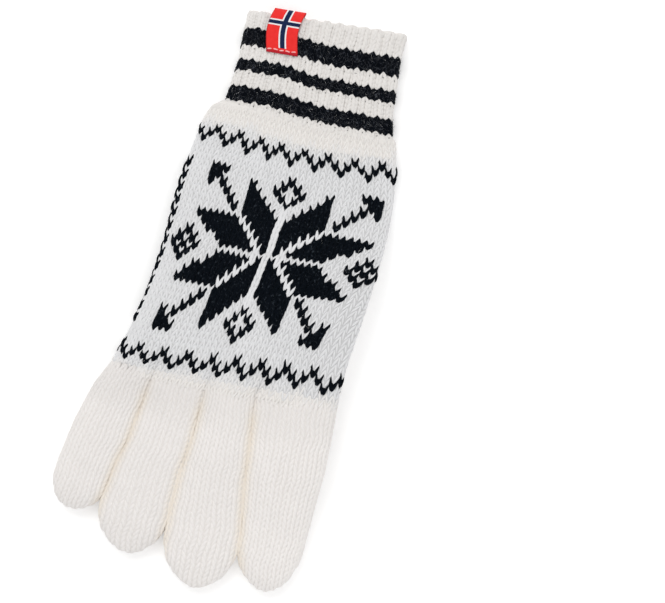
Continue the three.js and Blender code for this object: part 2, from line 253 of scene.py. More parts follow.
def make_object(name, verts, polys, materials, mat_index=None, uv=None, rnd=None, deep=None, dim=None):
    """verts in mm in the glove's frame; polys a list of equal-length index arrays."""
    me = bpy.data.meshes.new(name)
    v = np.asarray(verts, float) + SHIFT
    v[:, 2] = np.maximum(v[:, 2], 0.02)
    me.vertices.add(len(v))
    me.vertices.foreach_set("co", (v * 0.001).astype(np.float32).ravel())
    idx = np.concatenate([p.ravel() for p in polys]).astype(np.int32)
    size = np.concatenate([np.full(len(p), p.shape[1]) for p in polys])
    start = np.concatenate([[0], np.cumsum(size)[:-1]]).astype(np.int32)
    me.loops.add(len(idx))
    me.loops.foreach_set("vertex_index", idx)
    me.polygons.add(len(size))
    me.polygons.foreach_set("loop_start", start)
    if mat_index is not None:
        me.polygons.foreach_set("material_index", np.asarray(mat_index, np.int32))
    me.update(calc_edges=True)
    me.shade_smooth()
    if uv is not None:
        layer = me.uv_layers.new(name="UVMap")
        layer.data.foreach_set("uv", np.asarray(uv, np.float32)[idx].ravel())
    if rnd is not None:
        for key, values in (("rnd", rnd), ("deep", deep), ("dim", dim)):
            a = me.attributes.new(key, "FLOAT", "POINT")
            a.data.foreach_set("value", np.zeros(len(v), np.float32) if values is None else np.asarray(values, np.float32))
    me.validate()
    for m in materials:
        me.materials.append(m)
    o = bpy.data.objects.new(name, me)
    bpy.context.scene.collection.objects.link(o)
    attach(o, ROOT)
    return o


# ------------------------------------------------------------------ materials
def node(nt, kind, x, y, **values):
    n = nt.nodes.new(kind)
    n.location = (x, y)
    for k, v in values.items():
        setattr(n, k, v)
    return n


def yarn(name, light, dark, sheen=0.25, rough=0.95, fleck=None, tint=(1, 1, 1), crease=None, soft=0.0, gloss=0.15):
    """Twisted wool: two plies turning round each other, fine fibres, stitch-to-stitch variation."""
    m = bpy.data.materials.new(name)
    m.use_nodes = True
    nt = m.node_tree
    nt.nodes.clear()
    out = node(nt, "ShaderNodeOutputMaterial", 900, 0)
    bsdf = node(nt, "ShaderNodeBsdfPrincipled", 600, 0)
    nt.links.new(bsdf.outputs[0], out.inputs[0])
    bsdf.inputs["Roughness"].default_value = rough
    bsdf.inputs["Sheen Weight"].default_value = sheen
    bsdf.inputs["Sheen Roughness"].default_value = 0.55
    bsdf.inputs["Sheen Tint"].default_value = (*tint, 1)
    bsdf.inputs["Specular IOR Level"].default_value = gloss
    if soft:
        bsdf.subsurface_method = "RANDOM_WALK"
        bsdf.inputs["Subsurface Weight"].default_value = soft
        bsdf.inputs["Subsurface Radius"].default_value = (1.0, 0.86, 0.68)
        bsdf.inputs["Subsurface Scale"].default_value = 0.0009
    uv = node(nt, "ShaderNodeTexCoord", -1000, 0)
    # plies: slanting bands along each stitch leg
    mp = node(nt, "ShaderNodeMapping", -800, 0)
    mp.inputs["Rotation"].default_value = (0, 0, math.radians(38))
    mp.inputs["Scale"].default_value = (1.0, 1.6, 1)
    nt.links.new(uv.outputs["UV"], mp.inputs[0])
    wave = node(nt, "ShaderNodeTexWave", -600, 0, wave_type="BANDS", bands_direction="X", wave_profile="SIN")
    wave.inputs["Scale"].default_value = 0.75
    wave.inputs["Distortion"].default_value = 1.2
    wave.inputs["Detail"].default_value = 1.5
    nt.links.new(mp.outputs[0], wave.inputs[0])
    # fibres
    mp2 = node(nt, "ShaderNodeMapping", -800, -300)
    mp2.inputs["Rotation"].default_value = (0, 0, math.radians(38))
    mp2.inputs["Scale"].default_value = (9, 2.2, 1)
    nt.links.new(uv.outputs["UV"], mp2.inputs[0])
    fib = node(nt, "ShaderNodeTexNoise", -600, -300)
    fib.inputs["Scale"].default_value = 3.0
    fib.inputs["Detail"].default_value = 4
    fib.inputs["Roughness"].default_value = 0.65
    nt.links.new(mp2.outputs[0], fib.inputs["Vector"])
    cloud = node(nt, "ShaderNodeTexNoise", -600, -600)
    cloud.inputs["Scale"].default_value = 60
    cloud.inputs["Detail"].default_value = 3
    nt.links.new(uv.outputs["Object"], cloud.inputs["Vector"])
    att = node(nt, "ShaderNodeAttribute", -600, -850, attribute_name="rnd")
    # colour: a little of each unevenness
    total = None
    for sock, amount in ((fib.outputs[0], 0.30), (att.outputs["Fac"], 0.25), (cloud.outputs[0], 0.35), (wave.outputs["Fac"], 0.18)):
        k = node(nt, "ShaderNodeMath", -350, -500, operation="MULTIPLY_ADD")
        nt.links.new(sock, k.inputs[0])
        k.inputs[1].default_value = amount
        if total is None:
            k.inputs[2].default_value = 0.0
        else:
            nt.links.new(total, k.inputs[2])
        total = k.outputs[0]
    mix = node(nt, "ShaderNodeMix", 100, -200, data_type="RGBA")
    mix.inputs[6].default_value = (*dark, 1)
    mix.inputs[7].default_value = (*light, 1)
    nt.links.new(total, mix.inputs[0])
    col = mix.outputs[2]
    if crease is not None:
        # mixed by the deep attribute towards a second colour: on the fingers painted shade, darker and yellower down in
        # the creases between them; on the hand the yarn's own cream tone past the zigzags
        deep = node(nt, "ShaderNodeAttribute", -150, 100, attribute_name="deep")
        cm = node(nt, "ShaderNodeMix", 200, 100, data_type="RGBA")
        cm.inputs[7].default_value = (*crease, 1)
        nt.links.new(deep.outputs["Fac"], cm.inputs[0])
        nt.links.new(col, cm.inputs[6])
        col = cm.outputs[2]
    if crease is not None:
        # and painted shade: the dim attribute greys the colour over the first rows of the fingers and thumb, the hand's
        # last rows into the cuff, and the little and ring fingers
        dim = node(nt, "ShaderNodeAttribute", -150, 250, attribute_name="dim")
        dm = node(nt, "ShaderNodeMix", 300, 100, data_type="RGBA")
        dm.inputs[7].default_value = (0.0, 0.0, 0.0, 1)
        nt.links.new(dim.outputs["Fac"], dm.inputs[0])
        nt.links.new(col, dm.inputs[6])
        col = dm.outputs[2]
    if fleck is not None:
        # pale fibres caught in the dark yarn
        fn = node(nt, "ShaderNodeTexNoise", -350, 350)
        fn.inputs["Scale"].default_value = 900
        fn.inputs["Detail"].default_value = 3
        nt.links.new(uv.outputs["Object"], fn.inputs["Vector"])
        ramp = node(nt, "ShaderNodeValToRGB", -150, 350)
        ramp.color_ramp.elements[0].position = 0.60
        ramp.color_ramp.elements[1].position = 0.78
        nt.links.new(fn.outputs[0], ramp.inputs[0])
        fm = node(nt, "ShaderNodeMix", 300, 200, data_type="RGBA")
        fm.inputs[7].default_value = (*fleck, 1)
        nt.links.new(ramp.outputs[0], fm.inputs[0])
        nt.links.new(col, fm.inputs[6])
        col = fm.outputs[2]
    nt.links.new(col, bsdf.inputs["Base Color"])
    # bump
    b1 = node(nt, "ShaderNodeBump", 200, -600)
    b1.inputs["Strength"].default_value = 0.3
    b1.inputs["Distance"].default_value = 0.00016
    nt.links.new(wave.outputs["Fac"], b1.inputs["Height"])
    b2 = node(nt, "ShaderNodeBump", 400, -600)
    b2.inputs["Strength"].default_value = 0.3
    b2.inputs["Distance"].default_value = 0.00009
    nt.links.new(fib.outputs[0], b2.inputs["Height"])
    nt.links.new(b1.outputs[0], b2.inputs["Normal"])
    nt.links.new(b2.outputs[0], bsdf.inputs["Normal"])
    return m


# its second colour is the yarn's own cream tone, past the zigzags
WHITE = yarn("yarn_white", (0.815, 0.817, 0.828), (0.725, 0.727, 0.738), crease=(0.845, 0.82, 0.795))
CREAM = yarn("yarn_cream", (0.86, 0.835, 0.81), (0.77, 0.745, 0.72), crease=(0.82, 0.76, 0.67))
# its second colour is painted shade for the creases between the fingers
FINGER = yarn("yarn_finger", (0.91, 0.88, 0.862), (0.84, 0.81, 0.788), crease=(0.875, 0.815, 0.74))
BLACK = yarn("yarn_black", (0.0043, 0.0066, 0.0104), (0.0014, 0.0025, 0.0042), sheen=0.01, gloss=0.03, fleck=(0.046, 0.056, 0.070))
# painted shade: the cloth seen deep between the stitches, a darker grey than its yarn, so the gaps show as shaded dots
SHADE = yarn("cloth_shade", (0.63, 0.63, 0.635), (0.57, 0.57, 0.575))
SHADE_WARM = yarn("cloth_shade_warm", (0.82, 0.79, 0.765), (0.76, 0.735, 0.71))
CUFF_CREAM = yarn("yarn_cuff", (0.815, 0.792, 0.770), (0.735, 0.712, 0.690))
FUZZY = yarn("yarn_black_cuff", (0.0040, 0.0056, 0.0090), (0.0013, 0.0020, 0.0036), sheen=0.015, gloss=0.03, fleck=(0.078, 0.086, 0.104))


# ------------------------------------------------------------------ stitches
# One leg of a stitch, from its foot to its tucked-in head: place along the row
# pitch, sideways place and half width in columns, height above the cloth in mm.
LEG_T = np.array([0.0, 0.13, 0.30, 0.50, 0.70, 0.88, 1.0])
PLAIN_LEG = dict(
    side=np.array([0.05, 0.11, 0.19, 0.290, 0.370, 0.425, 0.46]),
    width=np.array([0.05, 0.145, 0.195, 0.212, 0.200, 0.145, 0.05]),
    crest=np.array([0.08, 0.42, 0.60, 0.64, 0.56, 0.30, -0.20]),
    rise=np.array([-0.60, -0.44, -0.17, 0.14, 0.44, 0.72, 0.94]),
)
FINGER_LEG = dict(
    side=np.array([0.10, 0.135, 0.185, 0.250, 0.315, 0.365, 0.40]),
    width=np.array([0.06, 0.150, 0.195, 0.210, 0.200, 0.150, 0.06]),
    crest=np.array([0.08, 0.40, 0.58, 0.62, 0.58, 0.36, -0.05]),
    rise=np.array([-0.62, -0.46, -0.19, 0.14, 0.48, 0.80, 1.04]),
)
DARK_LEG = dict(
    side=np.array([0.05, 0.12, 0.20, 0.290, 0.370, 0.43, 0.47]),
    width=np.array([0.06, 0.20, 0.275, 0.295, 0.275, 0.20, 0.06]),
    crest=np.array([0.12, 0.62, 0.86, 0.92, 0.82, 0.54, 0.0]),
    rise=np.array([-0.66, -0.48, -0.17, 0.20, 0.56, 0.90, 1.16]),
)
# a lone dark stitch spreads over its light neighbours
LONE_LEG = dict(
    side=np.array([0.05, 0.12, 0.21, 0.300, 0.385, 0.45, 0.49]),
    width=np.array([0.08, 0.24, 0.32, 0.345, 0.32, 0.24, 0.09]),
    crest=np.array([0.20, 0.74, 0.98, 1.04, 0.94, 0.66, 0.10]),
    rise=np.array([-0.72, -0.53, -0.19, 0.22, 0.60, 0.96, 1.24]),
)
# a light stitch with dark ones on both sides stands up between them
LINE_LEG = dict(
    side=np.array([0.04, 0.12, 0.20, 0.290, 0.370, 0.43, 0.47]),
    width=np.array([0.08, 0.23, 0.31, 0.33, 0.31, 0.23, 0.08]),
    crest=np.array([0.30, 0.80, 1.06, 1.12, 1.02, 0.76, 0.20]),
    rise=np.array([-0.78, -0.58, -0.22, 0.20, 0.62, 1.02, 1.34]),
)
# the last dark column before the cloth turns under stands out as beads
BEAD_LEG = dict(
    side=np.array([0.04, 0.10, 0.18, 0.27, 0.34, 0.39, 0.42]),
    width=np.array([0.06, 0.155, 0.22, 0.235, 0.22, 0.155, 0.06]),
    crest=np.array([0.15, 0.68, 0.98, 1.08, 0.98, 0.68, 0.05]),
    rise=np.array([-0.72, -0.53, -0.19, 0.20, 0.58, 0.92, 1.18]),
)
RIB_INNER = dict(
    side=np.array([0.02, 0.08, 0.20, 0.37, 0.51, 0.61, 0.66]),
    width=np.array([0.08, 0.18, 0.29, 0.40, 0.41, 0.33, 0.14]),
    crest=np.array([0.14, 0.66, 0.92, 0.98, 0.92, 0.70, 0.10]),
    rise=np.array([-0.76, -0.58, -0.32, 0.06, 0.50, 0.96, 1.32]),
)
RIB_OUTER = dict(
    side=np.array([0.02, 0.06, 0.10, 0.14, 0.17, 0.19, 0.20]),
    width=np.array([0.08, 0.21, 0.33, 0.39, 0.37, 0.27, 0.11]),
    crest=np.array([0.12, 0.58, 0.78, 0.76, 0.63, 0.40, 0.0]),
    rise=np.array([-0.72, -0.54, -0.26, 0.10, 0.45, 0.75, 0.95]),
)


# the zigzags are drawn tighter than the star
ZIGZAG_LEG = dict(LONE_LEG, width=LONE_LEG["width"] * 0.80, rise=LONE_LEG["rise"] * 0.93)
INSIDE_LEG = dict(PLAIN_LEG, crest=PLAIN_LEG["crest"] * 0.62, width=PLAIN_LEG["width"] * 1.1)


def leg_table(legs, key, t):
    """legs lists the kinds of stitch: one leg for both sides, or a pair for the -c and +c side."""
    pairs = [k if isinstance(k, tuple) else (k, k) for k in legs]
    return np.array([[np.interp(t, LEG_T, q[key]) for q in pair] for pair in pairs])


def stitches(name, tube, c, r, to_s, materials, mats, arch=5, stations=7, column=2.5, seed=1, legs=(PLAIN_LEG,), kind=None, deep=None, tone=None, shade=None, loose=1.0):
    """A V of two legs at each column c and row r. to_s turns column and row into s."""
    c, r = np.asarray(c, float), np.asarray(r, float)
    if len(c) == 0:
        return None
    n = len(c)
    rng = np.random.default_rng(seed)
    rnd = rng.random(n)
    t = LEG_T if stations == 7 else np.linspace(0, 1, stations)
    kind = np.zeros(n, int) if kind is None else np.asarray(kind, int)
    crest, wid, sid, rise = (leg_table(legs, k, t)[kind] for k in ("crest", "width", "side", "rise"))
    side = np.array([-1.0, 1.0])
    jc, jr = rng.normal(0, 0.022 * loose, n), rng.normal(0, 0.03 * loose, n)
    fat = 1 + rng.normal(0, 0.05 * loose, (n, 2))
    tall = 1 + rng.normal(0, 0.05 * loose, (n, 2))
    high = 1 + rng.normal(0, 0.07 * loose, (n, 2))
    lean = rng.normal(0, 0.02 * loose, n)
    C = c[:, None, None] + jc[:, None, None] + side[None, :, None] * sid + (lean[:, None, None] * rise)
    V = r[:, None, None] + jr[:, None, None] + rise * tall[:, :, None]
    C = C + 0.07 * drift_a(C * 2.5, V * 2.5)
    V = V + 0.09 * drift_b(C * 2.5, V * 2.5)
    P, N = tube.at(to_s(C, V), V)
    T = np.gradient(P, axis=2)
    T /= np.maximum(np.linalg.norm(T, axis=3, keepdims=True), 1e-9)
    B = np.cross(N, T)
    B /= np.maximum(np.linalg.norm(B, axis=3, keepdims=True), 1e-9)
    phi = np.linspace(0, math.pi, arch)
    w = wid * fat[:, :, None] * column
    lat = w[..., None] * np.cos(phi)
    low = -0.30
    up = low + (crest * high[:, :, None] - low)[..., None] * np.sin(phi)
    verts = P[..., None, :] + B[..., None, :] * lat[..., None] + N[..., None, :] * up[..., None]
    K, M = len(t), arch
    verts = verts.reshape(-1, 3)
    base = (np.arange(n * 2) * K * M)[:, None, None]
    k, q = np.meshgrid(np.arange(K - 1), np.arange(M - 1), indexing="ij")
    a = (k * M + q)[None]
    quad = np.stack([base + a, base + a + 1, base + a + M + 1, base + a + M], -1).reshape(-1, 4)
    # turn the faces outwards
    pick = len(quad) // 2 + M
    p = verts[quad[pick]]
    nn = np.cross(p[1] - p[0], p[3] - p[0])
    if nn @ N.reshape(-1, 3)[quad[pick][0] // M] < 0:
        quad = quad[:, ::-1]
    uvu = np.tile(np.linspace(0, 1, M), n * 2 * K)
    uvv = np.repeat(np.tile(t * 2.6, n * 2), M) + np.repeat(np.repeat(rnd * 7, 2), K * M)
    mats = np.repeat(np.asarray(mats), 2 * (K - 1) * (M - 1)) if mats is not None else None
    warm = None if deep is None else deep(verts)
    if tone is not None:
        warm = np.repeat(tone(r + rng.normal(0, 0.5, n)), 2 * K * M)
    dim = None if shade is None else np.repeat(shade(r), 2 * K * M)
    return make_object(name, verts, [quad], materials, mats, np.stack([uvu, uvv], 1), np.repeat(np.repeat(rnd, 2), K * M), warm, dim)


def wall(name, outer, inner, materials, mat_rows=None, cap=False):
    """The cloth the stitches grow from: outer and inner grids [v, s], joined at their ends."""
    nv, ns = outer.shape[:2]
    mv = inner.shape[0]
    ms = inner.shape[1]
    verts = [outer.reshape(-1, 3), inner.reshape(-1, 3)]

    def grid(off, rows, cols, flip):
        j, i = np.meshgrid(np.arange(rows - 1), np.arange(cols), indexing="ij")
        i1 = (i + 1) % cols
        q = np.stack([off + j * cols + i, off + j * cols + i1, off + (j + 1) * cols + i1, off + (j + 1) * cols + i], -1).reshape(-1, 4)
        return q[:, ::-1] if flip else q
    oo, oi = 0, nv * ns
    qo, qi = grid(oo, nv, ns, False), grid(oi, mv, ms, True)
    assert ns == ms
    i = np.arange(ns)
    i1 = (i + 1) % ns
    # the first rows join, and the last rows join unless capped
    join0 = np.stack([oi + i, oi + i1, oo + i1, oo + i], -1)
    polys = [qo, qi, join0]
    mi = [np.zeros(len(qo)) if mat_rows is None else mat_rows.reshape(-1), np.zeros(len(qi)) if mat_rows is None else np.zeros(len(qi)), np.zeros(ns)]
    lo, li = oo + (nv - 1) * ns, oi + (mv - 1) * ns
    if cap:
        polys.append(np.array([lo + i]))
        polys.append(np.array([(li + i)[::-1]]))
        mi += [np.zeros(1), np.zeros(1)]
    else:
        polys.append(np.stack([lo + i, lo + i1, li + i1, li + i], -1))
        mi.append(np.zeros(ns))
    v = np.concatenate(verts)
    p = v[qo[len(qo) // 3]]
    c0 = outer[outer.shape[0] // 3].mean(0)
    nn = np.cross(p[1] - p[0], p[3] - p[0])
    if nn @ (p[0] - c0) < 0:
        polys = [q[:, ::-1] for q in polys]
    sv = np.linspace(0, 1, len(v))
    uv = np.stack([v[:, 0] * 0.4, v[:, 1] * 0.4], 1)
    return make_object(name, v, polys, materials, np.concatenate(mi), uv, 0.15 + 0 * sv)


# ------------------------------------------------------------------ loose fibres
def hair_material(name, color):
    m = bpy.data.materials.new(name)
    m.use_nodes = True
    b = m.node_tree.nodes["Principled BSDF"]
    b.inputs["Base Color"].default_value = (*color, 1)
    b.inputs["Roughness"].default_value = 0.9
    b.inputs["Specular IOR Level"].default_value = 0.1
    return m


HAIR_PALE = hair_material("fibre_pale", (0.15, 0.16, 0.18))
HAIR_DIM = hair_material("fibre_dim", (0.036, 0.044, 0.056))
HAIR_DARK = hair_material("fibre_dark", (0.012, 0.013, 0.018))
HAIR_WHITE = hair_material("fibre_white", (0.90, 0.89, 0.87))


def fibres(name, tube, s, v, material, seed, length=(1.2, 3.2), thick=0.030, lift_mm=(0.3, 0.9), start=0.45):
    """Fine curved fibres that stand a little off the stitches."""
    n = len(s)
    if not n:
        return None
    rng = np.random.default_rng(seed)
    P, N = tube.at(s, v)
    Q, _ = tube.at(s + 0.001, v)
    T = Q - P
    T /= np.maximum(np.linalg.norm(T, axis=1, keepdims=True), 1e-9)
    B = np.cross(N, T)
    a = rng.uniform(0, 2 * math.pi, n)
    D = T * np.cos(a)[:, None] + B * np.sin(a)[:, None]
    E = -T * np.sin(a)[:, None] + B * np.cos(a)[:, None]
    ln = rng.uniform(*length, n)
    up = rng.uniform(*lift_mm, n)
    bend = rng.normal(0, 0.35, n)
    K = 4
    t = np.linspace(0, 1, K)
    path = (P + N * start)[:, None] + D[:, None] * (ln[:, None] * t)[..., None] + E[:, None] * ((bend * ln)[:, None] * t**2)[..., None]
    path = path + N[:, None] * (up[:, None] * np.sin(t * rng.uniform(1.6, 3.1, n)[:, None]))[..., None]
    r = thick * (1 - 0.75 * t)
    ph = np.array([0, 2.1, 4.2])
    ring = E[:, None, None] * (r[:, None] * np.cos(ph))[None, ..., None] + N[:, None, None] * (r[:, None] * np.sin(ph))[None, ..., None]
    V = (path[:, :, None] + ring).reshape(-1, 3)
    base = (np.arange(n) * K * 3)[:, None, None]
    k, q = np.meshgrid(np.arange(K - 1), np.arange(3), indexing="ij")
    a0, a1 = (k * 3 + q)[None], (k * 3 + (q + 1) % 3)[None]
    quad = np.stack([base + a0, base + a1, base + a1 + 3, base + a0 + 3], -1).reshape(-1, 4)
    caps = np.concatenate([(base + np.array([0, 2, 1])[None, None]).reshape(-1, 3), (base + (K - 1) * 3 + np.array([0, 1, 2])[None, None]).reshape(-1, 3)])
    return make_object(name, V, [quad, caps], [material])


# ------------------------------------------------------------------ the chart
def star(c, r):
    """Dark stitches of the star panel, read off one by one; c and r from its centre."""
    a, b = abs(c), abs(r)
    if a > 18 or b > 13:
        return False
    if 1 <= a <= 6 and a <= b <= a + 5:
        return True
    if b in (1, 2, 3, 4, 5):
        lo, hi = {1: (3, 8), 2: (4, 9), 3: (5, 11), 4: (6, 12), 5: (7, 13)}[b]
        if lo <= a <= hi:
            return True
    if (a, b) in ((8, 7), (9, 8), (10, 9), (11, 10), (11, 12), (12, 12), (13, 12), (12, 11), (13, 11), (13, 10)):
        return True
    if a + abs(b - 11) == 2 or abs(a - 14) + b == 2 or (a == 14 and b == 0):
        return True
    return False


def dark_stitch(c, r):
    """c runs round the hand from -18 to 53, r from the star's middle towards the cuff."""
    if r in (16, 17, 18):
        return (c + r) % 2 == 1 and c % 4 == {18: 1, 17: c % 4, 16: 3}[r]
    if r in (-16, -17, -18):
        return (c + r) % 2 == 0 and c % 4 == {-18: 0, -17: c % 4, -16: 2}[r]
    if -17 <= c <= 19:
        return star(c, r)
    return abs(r) <= 12 and (c + r) % 2 == 0


# ------------------------------------------------------------------ hand
C_LEFT = -19.05    # the stitch column that lies on the -X edge


def c_right(r):
    return np.interp(r, [-21, -17, 0, 12, 17, 23.5], [19.0, 18.8, 16.1, 15.04, 15.5, 15.8])


def hand_s(c, r):
    cl, cr = C_LEFT, c_right(r)
    c = np.mod(c - cl, HAND_AROUND) + cl
    # the last few columns crowd together where the cloth turns under
    near = np.where(c < -14.5, -14.5 + (c + 14.5) * (4.0 / (-14.5 - cl)), c)
    F = np.clip((near + 18.5) / (cr + 18.5), 0, 1)
    k = 0.15
    f = ((1 + k) - np.sqrt((1 + k) ** 2 - 4 * k * F)) / (2 * k)
    back = 0.5 + 0.5 * (c - cr) / (HAND_AROUND - (cr - cl))
    return np.where(c <= cr, 0.5 * f, back)


ROOT_ROW = HAND_COURSES[-1]


def root_y(x):
    _, x0, y0, x1, y1 = ROOT_ROW
    return y0 + (y1 - y0) * (x - x0) / (x1 - x0)


FINGER_SPANS = [(-51.9, -32.5), (-32.5, -8.9), (-8.9, 11.8), (11.8, 46.9)]


def hand_top(inset):
    def shape(x, y, z, side):
        zf = np.full_like(x, side)
        left, right = x.min(), x.max()
        for k, (x0, x1) in enumerate(FINGER_SPANS):
            a = x0 + inset - PRESS if k else left
            b = x1 - inset + PRESS if k < 3 else right
            s = np.abs(2 * (x - a) / (b - a) - 1)
            zk = inset + top_z(np.clip(s, 0, 1), FINGER_DEPTH - 2 * inset, 2.6)
            here = (x >= (x0 if k else left)) & (x <= (x1 if k < 3 else right))
            zf = np.where(here, zk, zf)
        w = 1 - smooth((y - root_y(x)) / 15)
        edge = np.minimum(x - left, right - x)
        return z * (1 - w) + np.minimum(zf, z + 0.6) * w + 0.22 * puff(x, y) * (1 - w) * smooth(edge / 14)
    return shape


def hand_grid(inset, m, v):
    rows = spline_rows(HAND_COURSES, v)
    return np.stack([halves(row, HAND_DEPTH, inset, 4, 9, m, shape_top=hand_top(inset))[0] for row in rows])


V0, V1, DV = -22.0, 24.6, 0.2
hv = np.arange(V0, V1 + 1e-6, DV)
# How the stitches are drawn aside from even courses, mm: course, then at five
# places from the -X edge to the +X edge, sideways and then towards the cuff.
HAND_PULL = np.array([
    [24.6, 0.0, 0.0, 0.0, 0.0, 0.0, -1.2, -0.4, -1.1, -1.2, -0.4],
    [23.0, 0.0, 0.0, 0.0, 0.0, 0.0, -1.0, -0.4, -1.1, -1.1, -0.3],
    [20.0, -1.0, 2.2, 0.1, -0.1, -0.3, 0.6, 0.0, -1.6, -0.7, 1.8],
    [17.0, -1.1, 1.7, 0.1, 0.0, -0.4, 1.9, 0.2, -0.5, -0.1, 2.4],
    [12.0, -0.6, 0.6, -0.2, -0.4, -0.4, 0.7, 0.8, -1.0, 0.9, 1.5],
    [6.0, 0.0, 0.6, 0.5, 0.3, 0.4, 0.7, 0.2, -0.4, -0.5, 0.1],
    [0.0, -0.3, -0.7, -0.2, -0.6, 0.6, 0.1, 0.2, 0.7, 1.1, 0.7],
    [-6.0, -1.1, -1.4, -1.0, -2.3, 1.4, -0.6, 0.0, 1.0, 2.7, 1.6],
    [-12.0, -1.2, -0.9, 0.1, -1.8, 1.0, 0.3, -1.3, 1.2, 1.4, 1.6],
    [-17.0, -0.8, 0.0, 1.1, 0.4, 1.1, -1.0, -1.8, -0.7, 1.0, -1.1],
    [-21.0, 0.0, 0.0, 0.0, 0.0, 0.0, -0.3, -0.4, -0.1, 0.1, -0.2],
    [-22.5, 0.0, 0.0, 0.0, 0.0, 0.0, 0.0, 0.0, 0.0, 0.0, 0.0],
])[::-1]
FIVE = np.linspace(0, 1, 5)
PULL_X = np.array([np.polyfit(FIVE, row[1:6], 4) for row in HAND_PULL])
PULL_Y = np.array([np.polyfit(FIVE, row[6:11], 4) for row in HAND_PULL])


class Pulled:
    """The hand's surface with its stitches drawn aside by HAND_PULL."""

    def __init__(self, tube):
        self.tube = tube

    def at(self, s, v):
        s = np.mod(s, 1.0)
        f = np.where(s < 0.5, 2 * s, 2 - 2 * s)
        dx, dy = 0, 0
        for k in range(5):
            dx = dx + np.interp(v, HAND_PULL[:, 0], PULL_X[:, k]) * f ** (4 - k)
            dy = dy + np.interp(v, HAND_PULL[:, 0], PULL_Y[:, k]) * f ** (4 - k)
        # round the palm the sideways pull runs evenly from one edge's to the other's
        left, right = (np.interp(v, HAND_PULL[:, 0], HAND_PULL[:, k]) for k in (1, 5))
        dx = np.where(s < 0.5, dx, left * (1 - f) + right * f)
        return self.tube.at(s + 0.5 * dx / 90.0, v + dy / 2.7)


hand = Pulled(Tube(hand_grid(PROUD, 128, hv), V0, DV))


def hand_column(C, V):
    return 2.45 + 0 * C


def hand_tone(r):
    """The ground is greyer between the two zigzags than beyond them."""
    return smooth((r - 17.5) / 3.5) + smooth((-18.0 - r) / 3.0)


def hand_painted_shade(r):
    """Painted shade: the hand's last rows, where it is drawn into the cuff, are greyed."""
    return 0.05 * smooth((r - 20.0) / 2.5)


def build_hand():
    cells = [(c, r) for r in range(-21, 23) for c in range(-18, 54)]
    cells = np.array(cells)
    is_dark = np.array([dark_stitch(c, r) for c, r in cells])
    between = np.array([(c == 0 and 1 <= abs(r) <= 10) or (abs(c) == abs(r) + 1 and 1 <= abs(r) <= 5) for c, r in cells])
    lone = np.array([-18 <= c <= 18 and not dark_stitch(c - 1, r) and not dark_stitch(c + 1, r) for c, r in cells])
    top = (cells[:, 0] <= 17) | (cells[:, 0] >= 52)
    sets = [
        ("hand_back_light", top & ~is_dark, 5, 7),
        ("hand_back_dark", top & is_dark, 5, 7),
        ("hand_palm_light", ~top & ~is_dark, 4, 5),
        ("hand_palm_dark", ~top & is_dark, 4, 5),
    ]
    made = []
    for i, (name, pick, arch, st) in enumerate(sets):
        mats = [BLACK] if "dark" in name else [WHITE]
        if "dark" in name:
            legs, kind = (DARK_LEG, LONE_LEG, BEAD_LEG, ZIGZAG_LEG), np.where((cells[pick, 0] == -18) | (cells[pick, 0] == 53), 2, lone[pick])
            kind = np.where(np.abs(cells[pick, 1]) >= 16, 3, kind)
        else:
            legs, kind = (PLAIN_LEG, LINE_LEG), between[pick]
        o = stitches(name, hand, cells[pick, 0], cells[pick, 1], hand_s, mats, None, arch, st, column=2.5, seed=20 + i,
                     legs=legs, kind=kind, loose=1.7 if "dark" in name else 1.0, tone=hand_tone, shade=hand_painted_shade)
        made.append(o)
    # cloth below: two faces a stitch each way, coloured as the chart, the light cells in painted shade
    cs = np.arange(C_LEFT, C_LEFT + HAND_AROUND, 0.5)
    rs = np.arange(-21.0, 23.6, 0.5)
    CC, RR = np.meshgrid(cs, rs)
    outer, _ = hand.at(hand_s(CC, RR), RR)
    n = Pulled(Tube(hand_grid(2.3, 128, rs), rs[0], 0.5))
    inner, _ = n.at(hand_s(CC, RR), RR)
    mr = np.zeros((len(rs) - 1, len(cs)))
    for j in range(len(rs) - 1):
        r = int(round(rs[j] + 0.25))
        for i, c in enumerate(cs):
            cc = int(math.floor(c + 0.25 + 0.5))
            if cc > 53:
                cc -= 72
            mr[j, i] = 1 if dark_stitch(cc, r) else (2 if (r >= 20 or r <= -20) else 0)
    o = wall("hand_cloth", outer, inner, [SHADE, BLACK, SHADE_WARM], mr)
    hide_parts("hand")
    return made + [o]


# ------------------------------------------------------------------ fingers and thumb
def tube_path(start_y, round_y, tip_y, depth, inset, pitch, thumb=False):
    """Rows along a finger: for each v, its y, and the angle round the tip."""
    body = start_y - round_y
    a = np.radians(np.linspace(0, 88, 120))
    reach = round_y - (tip_y + inset)
    y = round_y - reach * np.sin(a)
    z = (depth - 2 * inset) * (1 - SIDE_LEVEL) * np.cos(a)
    acc = np.concatenate([[0], np.cumsum(np.hypot(np.diff(y), np.diff(z)))])
    total = body + acc[-1]
    return body, a, acc, total


